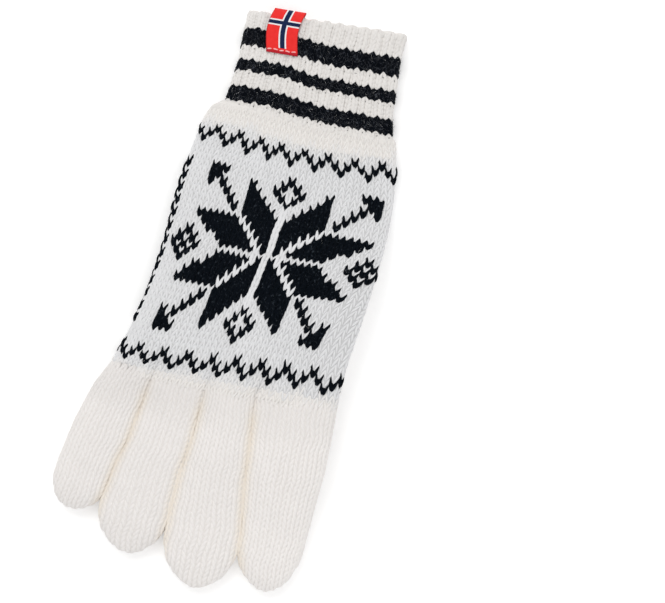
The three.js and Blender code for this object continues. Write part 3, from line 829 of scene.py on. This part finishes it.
def finger_grid(left, right, round_y, tip_x, tip_y, depth, inset, v, pitch, m, start_y, slope0, crown=2.6, rnd=6.0, raised=True, base=None, press=(0, 0)):
    body, a, acc, total = tube_path(start_y, round_y, tip_y, depth, inset, pitch)
    rings, tops, bots = [], [], []
    for vv in v:
        d = -vv * pitch
        swell = 1.0
        if d <= body:
            y = start_y - d
            u = np.clip(d / body, 0, 1)
            k = slope0 * (1 - u)
            l = [line_x(left, y), y]
            r = [line_x(right, y), y]
            for _ in range(3):
                mid = (l[0] + r[0]) / 2
                yl, yr = y + k * (l[0] - mid), y + k * (r[0] - mid)
                l, r = [line_x(left, yl), yl], [line_x(right, yr), yr]
            row, sq = (float(l[0]), float(l[1]), float(r[0]), float(r[1])), 1.0
        else:
            ang = np.interp(min(d - body, acc[-1]), acc, a)
            swell = 1 - smooth(ang / 1.1)
            x0, x1 = line_x(left, round_y), line_x(right, round_y)
            mid, half = (x0 + x1) / 2, (x1 - x0) / 2 - inset
            y = round_y - (round_y - (tip_y + inset)) * math.sin(ang)
            h = half * math.cos(ang)
            mm = mid + (tip_x - mid) * (1 - math.cos(ang))
            row, sq = (float(mm - h - inset), y, float(mm + h + inset), y), math.cos(ang)
        p, lt, lb = halves(row, depth, inset, crown, rnd, m, squash=sq, raised=raised, base=base,
                           press=(press[0] * swell, press[1] * swell), touch=0.12 if inset < 1 else inset * 0.8)
        rings.append(p)
        tops.append(lt)
        bots.append(lb)
    return np.stack(rings), np.array(tops), np.array(bots), total / pitch, body / pitch


def finger_painted_shade(v):
    """Painted shade: greyer over the first rows, where the finger grows from the hand."""
    return 0.065 * (1 - smooth((-v - 2.0) / 7.0))


def build_tube(name, left, right, round_y, tip_x, tip_y, depth, start_y, slope0, seed, material, crown=2.6, rnd=6.0, raised=True, base=None, extend=1.4, top_detail=(5, 7), low_detail=(4, 5), m=64, press=(0, 0), deep=None, dim=0.0):
    pitch, dv = FINGER_ROW, 0.2
    body, a, acc, total = tube_path(start_y, round_y, tip_y, depth, PROUD, pitch)
    rows = total / pitch
    v = np.arange(-rows, extend + 1e-6, dv)
    grid, tops, bots, rows, brows = finger_grid(left, right, round_y, tip_x, tip_y, depth, PROUD, v, pitch, m, start_y, slope0, crown, rnd, raised, base, press)
    for k in range(len(v)):
        w = smooth((-v[k] - 0.5) / 3)
        x, y = grid[k, :m, 0], grid[k, :m, 1]
        edge = np.sin(np.pi * np.linspace(0, 1, m + 1)[:m])
        grid[k, :m, 2] += 0.2 * puff(x * 1.3 + 40, y * 1.3) * edge * w
        if extend < 2:
            grid[k, :m, 2] -= 0.26 * smooth((v[k] + 2.2) / 2.0) + 0.55 * smooth((v[k] + 0.4) / 1.0)
    tube = Tube(grid, v[0], dv)
    at_body = np.argmin(np.abs(v + brows))
    mid = np.argmin(np.abs(v + brows * 0.55))
    n_top = int(round(tops[mid] / FINGER_COLUMN))
    n_bot = int(round(bots[mid] / FINGER_COLUMN))
    made = []
    for panel, count, lens, s0, detail in (("top", n_top, tops, 0.25, top_detail), ("under", n_bot, bots, 0.75, low_detail)):
        lb = lens[at_body]

        def to_s(C, V, count=count, lens=lens, s0=s0, lb=lb):
            L = np.interp(V, v, lens)
            scale = np.where(V < -brows, lb / np.maximum(L, 0.5), 1.0)
            return s0 + 0.5 * np.clip(C / count * scale, -0.62, 0.62)
        cells = []
        first = extend - 1.0 if extend > 2 and panel == "under" else -0.65
        under_hand = 1.0 if extend < 2 and panel == "top" else 0.0
        last = -rows + 0.62
        rows_down = np.linspace(first, last, int(round(first - last)) + 1)
        if under_hand:
            rows_down = np.concatenate([[first + under_hand], rows_down])
        for r in rows_down:
            L = np.interp(r, v, lens)
            room = count / 2 * (min(1.0, L / lb) if r < -brows else 1.0)
            for i in range(count):
                c = i - (count - 1) / 2
                if abs(c) <= room + 0.02:
                    cells.append((c, r))
        cells = np.array(cells)
        if press[0] or press[1]:
            q, _ = tube.at(to_s(cells[:, 0], cells[:, 1]), cells[:, 1])
            near = np.minimum(np.where(press[0] > 0, q[:, 0] - line_x(left, q[:, 1]), 99), np.where(press[1] > 0, line_x(right, q[:, 1]) - q[:, 0], 99))
            hidden = (near < 0.35) & (q[:, 2] < FINGER_DEPTH * 0.55 + lift(q[:, 0], q[:, 1])) & (q[:, 2] > 3.5 + lift(q[:, 0], q[:, 1]))
            cells = cells[~hidden]
        w = tops[mid] / n_top if panel == "top" else bots[mid] / n_bot
        o = stitches(f"{name}_{panel}", tube, cells[:, 0], cells[:, 1], to_s, [material], None, detail[0], detail[1], column=w,
                     seed=seed + (panel == "under"), legs=(FINGER_LEG,), deep=deep, shade=lambda v: finger_painted_shade(v) + dim, loose=0.6)
        made.append(o)
    ve = np.arange(-rows + 0.02, 0.21 if extend < 2 else extend, 0.5)
    ve = np.concatenate([ve, [0.2 if extend < 2 else extend]])[::-1]
    og, _ = tube.at(np.broadcast_to(np.arange(0, 1, 1 / 64)[None], (len(ve), 64)), np.broadcast_to(ve[:, None], (len(ve), 64)))
    ig = finger_grid(left, right, round_y, tip_x, tip_y, depth, 2.2, ve * 0.985, pitch, 32, start_y, slope0, crown, max(3.0, rnd - 1.5), raised, base, press)[0]
    # the cloth between the finger stitches is in painted shade
    o = wall(f"{name}_cloth", og, ig, [SHADE_WARM], cap=True)
    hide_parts(name)
    return made + [o]


def build_fingers():
    for k, (name, left, right, round_y, tip_x, tip_y) in enumerate(FINGERS):
        x0, x1 = float(line_x(left, root_y(left[0][1]))), float(line_x(right, root_y(right[0][1])))
        start = root_y((x0 + x1) / 2)
        slope = (root_y(x1) - root_y(x0)) / (x1 - x0)
        press = (PRESS * (k > 0), PRESS * (k < 3))

        # how far down in a crease a point lies; it mixes painted crease shade into the finger yarn
        def deep(p, left=left, right=right, k=k):
            """How far down in the crease beside a neighbour a point lies, 0 to 1."""
            a = np.where(k > 0, p[:, 0] - line_x(left, p[:, 1]), 99)
            b = np.where(k < 3, line_x(right, p[:, 1]) - p[:, 0], 99)
            drop = FINGER_DEPTH + lift(p[:, 0], p[:, 1]) - p[:, 2]
            grows = 0.25 + 0.75 * smooth((root_y(p[:, 0]) - p[:, 1]) / 11.0)
            return smooth((drop - 0.5) / 2.6) * (1 - smooth(np.minimum(a, b) / 5.0)) * grows
        # the little and ring fingers get extra painted shade, the middle finger a little
        build_tube(name, left, right, round_y, tip_x, tip_y, FINGER_DEPTH, start, slope, 40 + 3 * k, FINGER, press=press, deep=deep, dim=(0.035, 0.035, 0.012, 0.0)[k])


def thumb_base(x, y):
    return lift(x, y) * smooth((y - 8) / 16) * 0.96 + 1.7 * smooth((y - 18.5) / 6)


def build_thumb():
    build_tube("thumb", THUMB_INNER, THUMB_OUTER, -49.0, 29.6, -66.5, THUMB_DEPTH, 16.0, 0.0, 70, FINGER, crown=3.0, rnd=5.5,
               raised=False, base=thumb_base, extend=3.6, top_detail=(3, 5), low_detail=(4, 6))


# ------------------------------------------------------------------ cuff
# 23 rows, counted from the hand upwards: dark 4, light 4, dark 3, light 3, dark 4, light 5
CUFF_DARK = set([0, 1, 2, 3] + [8, 9, 10] + [14, 15, 16, 17])
CUFF_ROWS = 23
# where rows 0, 4, 8, 11, 14, 18 and 23 lie on the 22 even steps of the cuff's length
ROW_MARKS = np.array([-4.0, 0, 4, 8, 11, 14, 18, 23, 24])
LEFT_MARKS = np.array([-3.5, 0.5, 4.5, 8.5, 11.3, 14.7, 18.6, 22.0, 22.3])
RIGHT_MARKS = np.array([-4.6, -0.6, 3.3, 7.2, 10.0, 13.3, 17.3, 22.0, 22.4])


def cuff_v(rho, s):
    """Rows run up a little at the -X side of the cuff, as the rim is drawn in there."""
    s = np.mod(s, 1.0)
    f = np.where(s < 0.5, 2 * s, 2 - 2 * s)
    w = 1 - smooth((f - 0.26) / 0.28)
    # the outermost ridge hangs down by most of a row
    drop = 0.85 * (1 - smooth(f / 0.05)) * smooth((22.0 - rho) / 3) * smooth(rho / 3)
    # the first rows are drawn down with the hand
    drop = drop + np.interp(f, FIVE, [0.5, 0.25, 0.6, 0.6, 0.2]) * (1 - smooth((rho - 0.5) / 8))
    return np.interp(rho, ROW_MARKS, LEFT_MARKS) * w + np.interp(rho, ROW_MARKS, RIGHT_MARKS) * (1 - w) - drop


def cuff_row(v):
    """Edges of the cuff at v: 0 at the hand, 22 at its top edge."""
    T = np.column_stack([np.array([22.0, 17.2, 11.6, 5.6, 0.0]), CUFF_COURSES])
    return spline_rows(T, v)


def rib(t):
    """Depth of the valley beside each ridge, at t round the cuff."""
    p = np.mod(t * RIBS, 1.0)
    d = np.abs(np.mod(p - 0.9 + 0.5, 1.0) - 0.5)
    e = np.abs(np.mod(p - 0.4 + 0.5, 1.0) - 0.5)
    return 0.55 * np.exp(-((d / 0.12) ** 2)) + 0.10 * np.exp(-((e / 0.06) ** 2))


def cuff_ring(v, inset, m=624, ribbed=1.0):
    row = cuff_row(min(v, 22.0))[0]
    p, _, _ = halves(tuple(row), CUFF_DEPTH, inset, 4, 8, 200, shape_top=lambda x, y, z, side: z + 0.18 * puff(x, y) * smooth((np.minimum(x + 38, 36 - x)) / 10))
    q = np.vstack([p, p[:1]])
    acc = np.concatenate([[0], np.cumsum(np.linalg.norm(np.diff(q, axis=0), axis=1))])
    t = np.arange(m) / m
    g = np.stack([np.interp(t * acc[-1], acc, q[:, k]) for k in range(3)], 1)
    tan = np.roll(g, -4, 0) - np.roll(g, 4, 0)
    inward = np.stack([tan[:, 2], 0 * t, -tan[:, 0]], 1)
    inward /= np.maximum(np.linalg.norm(inward, axis=1, keepdims=True), 1e-9)
    wob = 0.1 * drift_a(t * 120, v * 2.0) / RIBS
    return g + inward * (rib(t + wob) * ribbed)[:, None]


def scallop(g, v):
    """The ridges push the rim out a little between the valleys."""
    t = np.arange(len(g)) / len(g)
    g[:, 1] += 0.6 * smooth((v - 19.5) / 2.5) * (0.5 + 0.5 * np.cos(2 * math.pi * (t * RIBS - 0.4)))
    return g


class RowTube:
    """The cuff's surface read by stitch row instead of by length."""

    def __init__(self, tube):
        self.tube = tube

    def at(self, s, rho):
        return self.tube.at(s, cuff_v(rho, s))


def build_cuff():
    dv = 0.2
    vs = list(np.arange(-5.0, 22.0 + 1e-6, dv))
    rings = [scallop(cuff_ring(v, PROUD), v) for v in vs]
    # over the rim and into the mouth
    rim = 0.95
    steps = 6
    for k in range(1, steps + 1):
        a = math.pi * k / steps
        g = scallop(cuff_ring(22.0, PROUD + rim * (1 - math.cos(a)), ribbed=1 - 0.35 * k / steps), 22.0)
        g[:, 1] += rim * math.sin(a)
        vs.append(22.0 + dv * k)
        rings.append(g)
    tube = Tube(np.stack(rings), vs[0], dv)
    rows = RowTube(tube)
    unit = 0.41        # one column, as part of a rib

    def to_s(C, V):
        return np.mod(C * unit, RIBS) / RIBS
    cells, dark, flip = [], [], []
    for r in range(-2, CUFF_ROWS):
        for k in range(RIBS):
            for j, ph in enumerate((0.07, 0.73)):
                cells.append((k + ph, r + 0.5))
                dark.append(r in CUFF_DARK)
                flip.append(j == 1)
    cells, dark, flip = np.array(cells), np.array(dark), np.array(flip)
    top = cells[:, 0] < 13.2
    dot_r = np.array([r for r in range(-1, CUFF_ROWS - 1) if r not in CUFF_DARK and r + 1 in CUFF_DARK])
    ks, rr = np.meshgrid(np.arange(RIBS), dot_r)
    drng = np.random.default_rng(31)
    ss = (ks.ravel() + 0.4 + drng.normal(0, 0.015, ks.size)) / RIBS
    vv = rr.ravel() + 0.42 + drng.normal(0, 0.08, ks.size)
    o = fibres("cuff_dots", rows, ss, vv, HAIR_DARK, 33, length=(0.5, 0.85), thick=0.20, lift_mm=(0.0, 0.1), start=0.66)
    for name, pick, arch, st, mats, seed in (
            ("cuff_back_light", top & ~dark, 5, 7, [CUFF_CREAM], 90), ("cuff_back_dark", top & dark, 5, 7, [FUZZY], 91),
            ("cuff_palm_light", ~top & ~dark, 4, 5, [CUFF_CREAM], 92), ("cuff_palm_dark", ~top & dark, 4, 5, [FUZZY], 93)):
        o = stitches(name, rows, cells[pick, 0] / unit, cells[pick, 1], to_s, mats, None, arch, st, column=2.28, seed=seed,
                     legs=((RIB_OUTER, RIB_INNER), (RIB_INNER, RIB_OUTER)), kind=flip[pick])
    # cloth below, down to the valleys, and the inside of the cuff
    rs = np.concatenate([np.arange(0, 23.01, 0.5), [23.4, 23.8, 24.0]])
    ts = np.arange(RIBS * 12) / (RIBS * 12)
    TT, RR = np.meshgrid(ts, rs)
    VV = cuff_v(RR, TT)
    VV[-3:] = 22.0 + dv * np.array([2, 4, 6])[:, None]
    outer, _ = tube.at(TT, VV)
    iv = np.linspace(-0.6, 22, 24)
    inner = np.stack([cuff_ring(v, CUFF_WALL + 0.1, m=RIBS * 12, ribbed=0.65) for v in iv])
    mr = np.zeros((len(rs) - 1, len(ts)))
    for j in range(len(rs) - 1):
        if int(math.floor(rs[j] + 0.01)) in CUFF_DARK:
            mr[j] = 1
    o = wall("cuff_cloth", outer, inner, [CREAM, BLACK], mr)
    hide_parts("cuff")
    # the wrong side of the rib, seen in the mouth
    iv = np.arange(11.0, 22.0 + 1e-6, 0.25)
    lining = Tube(np.stack([cuff_ring(v, CUFF_WALL - 0.05, m=RIBS * 12, ribbed=0.65) for v in iv]), iv[0], 0.25)
    lining.N = -lining.N
    inside = np.array([(k + ph, v) for v in np.arange(12.2, 21.3, 0.96) for k in range(RIBS) for ph in (0.0, 0.5)])
    o = stitches("cuff_inside", lining, inside[:, 0] / unit, inside[:, 1], to_s, [CREAM], None, 3, 5, column=2.1, seed=94, legs=(INSIDE_LEG,))
    return rows


def build_fibres(cuff_tube):
    rng = np.random.default_rng(7)
    # over the dark parts of the hand
    dark = [(c, r) for r in range(-18, 19) for c in range(-18, 54) if dark_stitch(c, r)]
    dark = np.array(dark)
    pick = dark[rng.integers(0, len(dark), 2300)] + rng.uniform(-0.5, 0.5, (2300, 2))
    o = fibres("hand_fibres_pale", hand, hand_s(pick[:, 0], pick[:, 1]), pick[:, 1], HAIR_DIM, 1)
    pick = dark[rng.integers(0, len(dark), 1000)] + rng.uniform(-0.6, 0.6, (1000, 2))
    o = fibres("hand_fibres_dark", hand, hand_s(pick[:, 0], pick[:, 1]), pick[:, 1], HAIR_DARK, 2, length=(0.8, 2.2), thick=0.04)
    pick = np.stack([rng.uniform(-18.4, 53, 800), rng.uniform(-20, 22, 800)], 1)
    pick = pick[[not dark_stitch(int(round(c)), int(round(r))) for c, r in pick]]
    o = fibres("hand_fibres_light", hand, hand_s(pick[:, 0], pick[:, 1]), pick[:, 1], HAIR_WHITE, 3)
    rows = np.array(sorted(CUFF_DARK))
    n = 2900
    v = rows[rng.integers(0, len(rows), n)] + rng.uniform(-0.1, 1.3, n)
    o = fibres("cuff_fibres_pale", cuff_tube, rng.random(n), v, HAIR_PALE, 4, lift_mm=(0.4, 1.1))
    n = 1000
    v = rows[rng.integers(0, len(rows), n)] + rng.uniform(-0.3, 1.5, n)
    o = fibres("cuff_fibres_dark", cuff_tube, rng.random(n), v, HAIR_DARK, 5, length=(0.8, 2.4), thick=0.04, lift_mm=(0.4, 1.0))
    n = 500
    o = fibres("cuff_fibres_light", cuff_tube, rng.random(n), rng.uniform(-1, 22.5, n), HAIR_WHITE, 6)


# ------------------------------------------------------------------ build
build_hand()
build_fingers()
build_thumb()
cuff_tube = build_cuff()
build_fibres(cuff_tube)

# ------------------------------------------------------------------ label
def label_material():
    m = bpy.data.materials.new("label_weave")
    m.use_nodes = True
    nt = m.node_tree
    nt.nodes.clear()
    out = node(nt, "ShaderNodeOutputMaterial", 1200, 0)
    bsdf = node(nt, "ShaderNodeBsdfPrincipled", 900, 0)
    nt.links.new(bsdf.outputs[0], out.inputs[0])
    bsdf.inputs["Roughness"].default_value = 0.6
    bsdf.inputs["Specular IOR Level"].default_value = 0.15
    tc = node(nt, "ShaderNodeTexCoord", -900, 0)
    sep = node(nt, "ShaderNodeSeparateXYZ", -700, 0)
    nt.links.new(tc.outputs["UV"], sep.inputs[0])
    nz = node(nt, "ShaderNodeTexNoise", -900, -300)
    nz.inputs["Scale"].default_value = 700
    nt.links.new(tc.outputs["Object"], nz.inputs["Vector"])

    def band(sock, centre, half):
        d = node(nt, "ShaderNodeMath", -500, 0, operation="SUBTRACT")
        nt.links.new(sock, d.inputs[0])
        d.inputs[1].default_value = centre
        ab = node(nt, "ShaderNodeMath", -350, 0, operation="ABSOLUTE")
        nt.links.new(d.outputs[0], ab.inputs[0])
        j = node(nt, "ShaderNodeMath", -350, -150, operation="MULTIPLY_ADD")
        nt.links.new(nz.outputs[0], j.inputs[0])
        j.inputs[1].default_value = 0.16
        nt.links.new(ab.outputs[0], j.inputs[2])
        lt = node(nt, "ShaderNodeMath", -200, 0, operation="LESS_THAN")
        nt.links.new(j.outputs[0], lt.inputs[0])
        lt.inputs[1].default_value = half + 0.08
        return lt.outputs[0]

    def join(a, b):
        mx = node(nt, "ShaderNodeMath", 0, 0, operation="MAXIMUM")
        nt.links.new(a, mx.inputs[0])
        nt.links.new(b, mx.inputs[1])
        return mx.outputs[0]
    # UV in mm: u across the tape, v up from its sewn end
    end = node(nt, "ShaderNodeMath", -350, 300, operation="GREATER_THAN")
    nt.links.new(sep.outputs[1], end.inputs[0])
    end.inputs[1].default_value = 2.3

    def cut(sock):
        k = node(nt, "ShaderNodeMath", -100, 300, operation="MULTIPLY")
        nt.links.new(sock, k.inputs[0])
        nt.links.new(end.outputs[0], k.inputs[1])
        return k.outputs[0]
    white = join(cut(band(sep.outputs[0], 6.95, 1.62)), band(sep.outputs[1], 12.9, 1.32))
    blue = join(cut(band(sep.outputs[0], 6.95, 0.98)), band(sep.outputs[1], 12.9, 0.74))
    red = node(nt, "ShaderNodeMix", 200, -300, data_type="RGBA")
    red.inputs[6].default_value = (0.80, 0.022, 0.020, 1)
    red.inputs[7].default_value = (0.93, 0.038, 0.034, 1)
    nt.links.new(nz.outputs[0], red.inputs[0])
    m1 = node(nt, "ShaderNodeMix", 400, 0, data_type="RGBA")
    nt.links.new(white, m1.inputs[0])
    nt.links.new(red.outputs[2], m1.inputs[6])
    m1.inputs[7].default_value = (0.86, 0.85, 0.86, 1)
    m2 = node(nt, "ShaderNodeMix", 600, 0, data_type="RGBA")
    nt.links.new(blue, m2.inputs[0])
    nt.links.new(m1.outputs[2], m2.inputs[6])
    m2.inputs[7].default_value = (0.004, 0.015, 0.065, 1)
    # painted shade: the turned-under hem below the stitching is coloured darker red
    low = node(nt, "ShaderNodeMapRange", 400, 500)
    low.inputs["From Min"].default_value = 1.5
    low.inputs["From Max"].default_value = 0.9
    low.inputs["To Min"].default_value = 0.0
    low.inputs["To Max"].default_value = 0.85
    nt.links.new(sep.outputs[1], low.inputs["Value"])
    hem_shade = node(nt, "ShaderNodeMix", 650, 200, data_type="RGBA")
    hem_shade.inputs[7].default_value = (0.42, 0.010, 0.022, 1)
    nt.links.new(low.outputs[0], hem_shade.inputs[0])
    nt.links.new(m2.outputs[2], hem_shade.inputs[6])
    # denser weave along both selvedges
    rim = node(nt, "ShaderNodeMath", 400, 300, operation="SUBTRACT")
    nt.links.new(sep.outputs[0], rim.inputs[0])
    rim.inputs[1].default_value = LABEL_W / 2
    far = node(nt, "ShaderNodeMath", 500, 300, operation="ABSOLUTE")
    nt.links.new(rim.outputs[0], far.inputs[0])
    edge = node(nt, "ShaderNodeMapRange", 600, 300)
    edge.inputs["From Min"].default_value = LABEL_W / 2 - 0.45
    edge.inputs["From Max"].default_value = LABEL_W / 2
    edge.inputs["To Min"].default_value = 0.0
    edge.inputs["To Max"].default_value = 0.55
    nt.links.new(far.outputs[0], edge.inputs["Value"])
    m3 = node(nt, "ShaderNodeMix", 750, 0, data_type="RGBA")
    m3.inputs[7].default_value = (0.28, 0.01, 0.012, 1)
    nt.links.new(edge.outputs[0], m3.inputs[0])
    nt.links.new(hem_shade.outputs[2], m3.inputs[6])
    nt.links.new(m3.outputs[2], bsdf.inputs["Base Color"])
    wv = node(nt, "ShaderNodeTexWave", 200, -600, wave_type="BANDS", bands_direction="Y")
    wv.inputs["Scale"].default_value = 1.25
    wv.inputs["Distortion"].default_value = 0.4
    nt.links.new(tc.outputs["UV"], wv.inputs[0])
    wx = node(nt, "ShaderNodeTexWave", 200, -850, wave_type="BANDS", bands_direction="X")
    wx.inputs["Scale"].default_value = 1.6
    nt.links.new(tc.outputs["UV"], wx.inputs[0])
    add = node(nt, "ShaderNodeMath", 400, -700, operation="ADD")
    nt.links.new(wv.outputs["Fac"], add.inputs[0])
    nt.links.new(wx.outputs["Fac"], add.inputs[1])
    b = node(nt, "ShaderNodeBump", 600, -600)
    b.inputs["Strength"].default_value = 0.5
    b.inputs["Distance"].default_value = 0.00008
    nt.links.new(add.outputs[0], b.inputs["Height"])
    nt.links.new(b.outputs[0], bsdf.inputs["Normal"])
    return m


LABEL_W, LABEL_T, LABEL_TURN = 13.4, 0.5, 0.12
LABEL_AT = np.array([-20.1, 97.3])
FOLD = 0.1


def label_point(a, b, n):
    """Point of the tape: a across, b up from its sewn end, n off its inner face."""
    b = np.asarray(b, float)
    front = 15.2 + FOLD
    rad = (13.9 - 7.6) / 2
    arc = math.pi * rad
    u = np.where(b < front, b - 15.2, np.where(b < front + arc, FOLD + rad * np.sin((b - front) / rad), FOLD - (b - front - arc)))
    mid = 7.6 + rad
    v = np.where(b < front, 13.9, np.where(b < front + arc, mid + rad * np.cos((b - front) / rad), 7.6))
    nv = np.where(b < front, 1.0, np.where(b < front + arc, np.cos((b - front) / rad), -1.0))
    nu = np.where(b < front, 0.0, np.where(b < front + arc, np.sin((b - front) / rad), 0.0))
    w = a - LABEL_W / 2
    # it follows the ridges a little and lies down at its sewn end
    wave = 0.10 * np.sin(w * 2 * math.pi / 5.3 + 0.6) * np.where(b < front, 1, 0.0)
    lie = (-0.35 * np.exp(-((b / 2.2) ** 2)) - 0.22 * np.exp(-(((b - 1.45) / 0.42) ** 2))) * np.where(b < front, 1, 0)
    crown = -0.0042 * (w - 9) ** 2 * np.where(b < front + arc / 2, 1, 0.0) + 0.12
    u = u + nu * n
    v = v + nv * n + wave + lie + crown
    c, s = math.cos(LABEL_TURN), math.sin(LABEL_TURN)
    # the tape is pulled askew, so its front bows to -X
    along = np.clip((u + 15.2) / (15.2 + FOLD + rad), 0, 1)
    bow = 1.65 * np.sin(along ** 1.15 * math.pi) + 0.5 * (1 - along)
    x = LABEL_AT[0] + (w - bow) * c - u * s
    y = LABEL_AT[1] + (w - bow) * s + u * c
    return np.stack(np.broadcast_arrays(x, y, v), -1)


def build_label():
    front, rad = 15.2 + FOLD, 3.15
    total = front + math.pi * rad + 11.0
    A = np.linspace(0, LABEL_W, 29)
    Bv = np.concatenate([np.linspace(0, front, 34), front + np.linspace(0, math.pi * rad, 20)[1:], np.linspace(front + math.pi * rad, total, 12)[1:]])
    AA, BB = np.meshgrid(A, Bv)
    up = label_point(AA, BB, LABEL_T)
    dn = label_point(AA, BB, 0.0)
    nb, na = AA.shape
    V = np.concatenate([up.reshape(-1, 3), dn.reshape(-1, 3)])
    j, i = np.meshgrid(np.arange(nb - 1), np.arange(na - 1), indexing="ij")
    q = np.stack([j * na + i, j * na + i + 1, (j + 1) * na + i + 1, (j + 1) * na + i], -1).reshape(-1, 4)
    off = nb * na
    polys = [q, (q + off)[:, ::-1]]
    i = np.arange(na - 1)
    polys.append(np.stack([i, i + off, i + 1 + off, i + 1], -1))
    e = (nb - 1) * na
    polys.append(np.stack([e + i + 1, e + i + 1 + off, e + i + off, e + i], -1))
    j = np.arange(nb - 1)
    polys.append(np.stack([(j + 1) * na, (j + 1) * na + off, j * na + off, j * na], -1))
    k = na - 1
    polys.append(np.stack([j * na + k, j * na + k + off, (j + 1) * na + k + off, (j + 1) * na + k], -1))
    uv = np.tile(np.stack([AA.ravel(), BB.ravel()], 1), (2, 1))
    o = make_object("label_tape", V, polys, [label_material()], None, uv, np.zeros(len(V)))
    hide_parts("label")
    return o, total


def thread_material():
    m = bpy.data.materials.new("label_thread")
    m.use_nodes = True
    nt = m.node_tree
    bsdf = nt.nodes["Principled BSDF"]
    bsdf.inputs["Roughness"].default_value = 0.55
    nz = node(nt, "ShaderNodeTexNoise", -500, 0)
    nz.inputs["Scale"].default_value = 1800
    tc = node(nt, "ShaderNodeTexCoord", -700, 0)
    nt.links.new(tc.outputs["Object"], nz.inputs["Vector"])
    mx = node(nt, "ShaderNodeMix", -250, 0, data_type="RGBA")
    mx.inputs[6].default_value = (0.90, 0.12, 0.13, 1)
    mx.inputs[7].default_value = (0.97, 0.74, 0.72, 1)
    nt.links.new(nz.outputs[0], mx.inputs[0])
    nt.links.new(mx.outputs[2], bsdf.inputs["Base Color"])
    return m


def build_label_stitches():
    """A row of running stitches holds the tape's lower end."""
    V, F = [], []
    count = 5
    ring_n, seg = 8, 9
    for k in range(count):
        a0 = 0.45 + k * (LABEL_W - 0.6) / count
        a1 = a0 + 2.05
        off = len(V) * 0 + sum(len(x) for x in V)
        t = np.linspace(0, 1, seg)
        a = a0 + (a1 - a0) * t
        b = 1.45 + 0.12 * np.sin(k * 2.1) + 0.30 * (t - 0.5) * (-1) ** k
        h = LABEL_T - 0.10 + 0.36 * np.sin(math.pi * t)
        c = label_point(a, b, h)
        T = np.gradient(c, axis=0)
        T /= np.linalg.norm(T, axis=1, keepdims=True)
        up = np.array([0, 0, 1.0])
        S = np.cross(T, up)
        S /= np.linalg.norm(S, axis=1, keepdims=True)
        r = 0.30 * np.sqrt(np.clip(1 - (2 * t - 1) ** 6, 0.05, 1))
        ph = np.arange(ring_n) / ring_n * 2 * math.pi
        p = c[:, None] + S[:, None] * (r[:, None] * np.cos(ph))[..., None] + up * (r[:, None] * np.sin(ph))[..., None]
        V.append(p.reshape(-1, 3))
        j, i = np.meshgrid(np.arange(seg - 1), np.arange(ring_n), indexing="ij")
        q = np.stack([j * ring_n + i, j * ring_n + (i + 1) % ring_n, (j + 1) * ring_n + (i + 1) % ring_n, (j + 1) * ring_n + i], -1).reshape(-1, 4)
        F.append(q + off)
    V = np.concatenate(V)
    o = make_object("label_stitching", V, [np.concatenate(F)], [thread_material()], None, np.zeros((len(V), 2)), np.zeros(len(V)))
    return o


label, label_length = build_label()
thread = build_label_stitches()


# ------------------------------------------------------------------ stage
def plain(name, color, rough=0.8):
    m = bpy.data.materials.new(name)
    m.use_nodes = True
    b = m.node_tree.nodes["Principled BSDF"]
    b.inputs["Base Color"].default_value = (*color, 1)
    b.inputs["Roughness"].default_value = rough
    b.inputs["Specular IOR Level"].default_value = 0.2
    return m


bpy.ops.mesh.primitive_plane_add(size=6, location=(0, 0, -0.0001))
floor = bpy.context.object
floor.name = "floor"
paper = plain("floor_paper", (0.97, 0.97, 0.97))
paper.node_tree.nodes["Principled BSDF"].inputs["Emission Color"].default_value = (1, 1, 1, 1)
paper.node_tree.nodes["Principled BSDF"].inputs["Emission Strength"].default_value = 0.17
floor.data.materials.append(paper)

scene = bpy.context.scene
scene.view_settings.view_transform = "Standard"
scene.view_settings.look = "None"
scene.view_settings.exposure = 0.0
world = bpy.data.worlds.new("studio")
scene.world = world
world.use_nodes = True
world.node_tree.nodes["Background"].inputs[0].default_value = (1.0, 1.0, 1.0, 1)
world.node_tree.nodes["Background"].inputs[1].default_value = 0.70


def area(name, loc, target, size, power, color=(1, 1, 1)):
    d = bpy.data.lights.new(name, "AREA")
    d.shape = "RECTANGLE"
    d.size, d.size_y = size
    d.energy = power
    d.color = color
    o = bpy.data.objects.new(name, d)
    scene.collection.objects.link(o)
    o.location = loc
    o.rotation_euler = (Vector(target) - Vector(loc)).to_track_quat("-Z", "Y").to_euler()
    return o


area("key", (-0.45, 0.62, 1.25), (0, 0, 0), (0.9, 0.9), 6.8, (1.0, 0.99, 0.975))
area("fill", (0.7, -0.4, 1.2), (0, 0, 0), (1.2, 1.2), 2.8, (1.0, 1.0, 1.0))

# ------------------------------------------------------------------ camera
TURN = math.radians(16.7)
PX = 0.42
centre = np.array([PX * (64.0 * math.cos(TURN) + 47.0 * math.sin(TURN)), PX * (64.0 * math.sin(TURN) - 47.0 * math.cos(TURN))]) + SHIFT[:2]
HEIGHT = 1.3
cam_data = bpy.data.cameras.new("camera")
cam_data.sensor_width = 36.0
cam_data.lens = 36.0 * (HEIGHT - 0.012) / (665 * PX / 1000)
cam_data.dof.use_dof = False
cam = bpy.data.objects.new("camera", cam_data)
scene.collection.objects.link(cam)
cam.location = (centre[0] / 1000, centre[1] / 1000, HEIGHT)
cam.rotation_euler = (0, 0, TURN)
scene.camera = cam
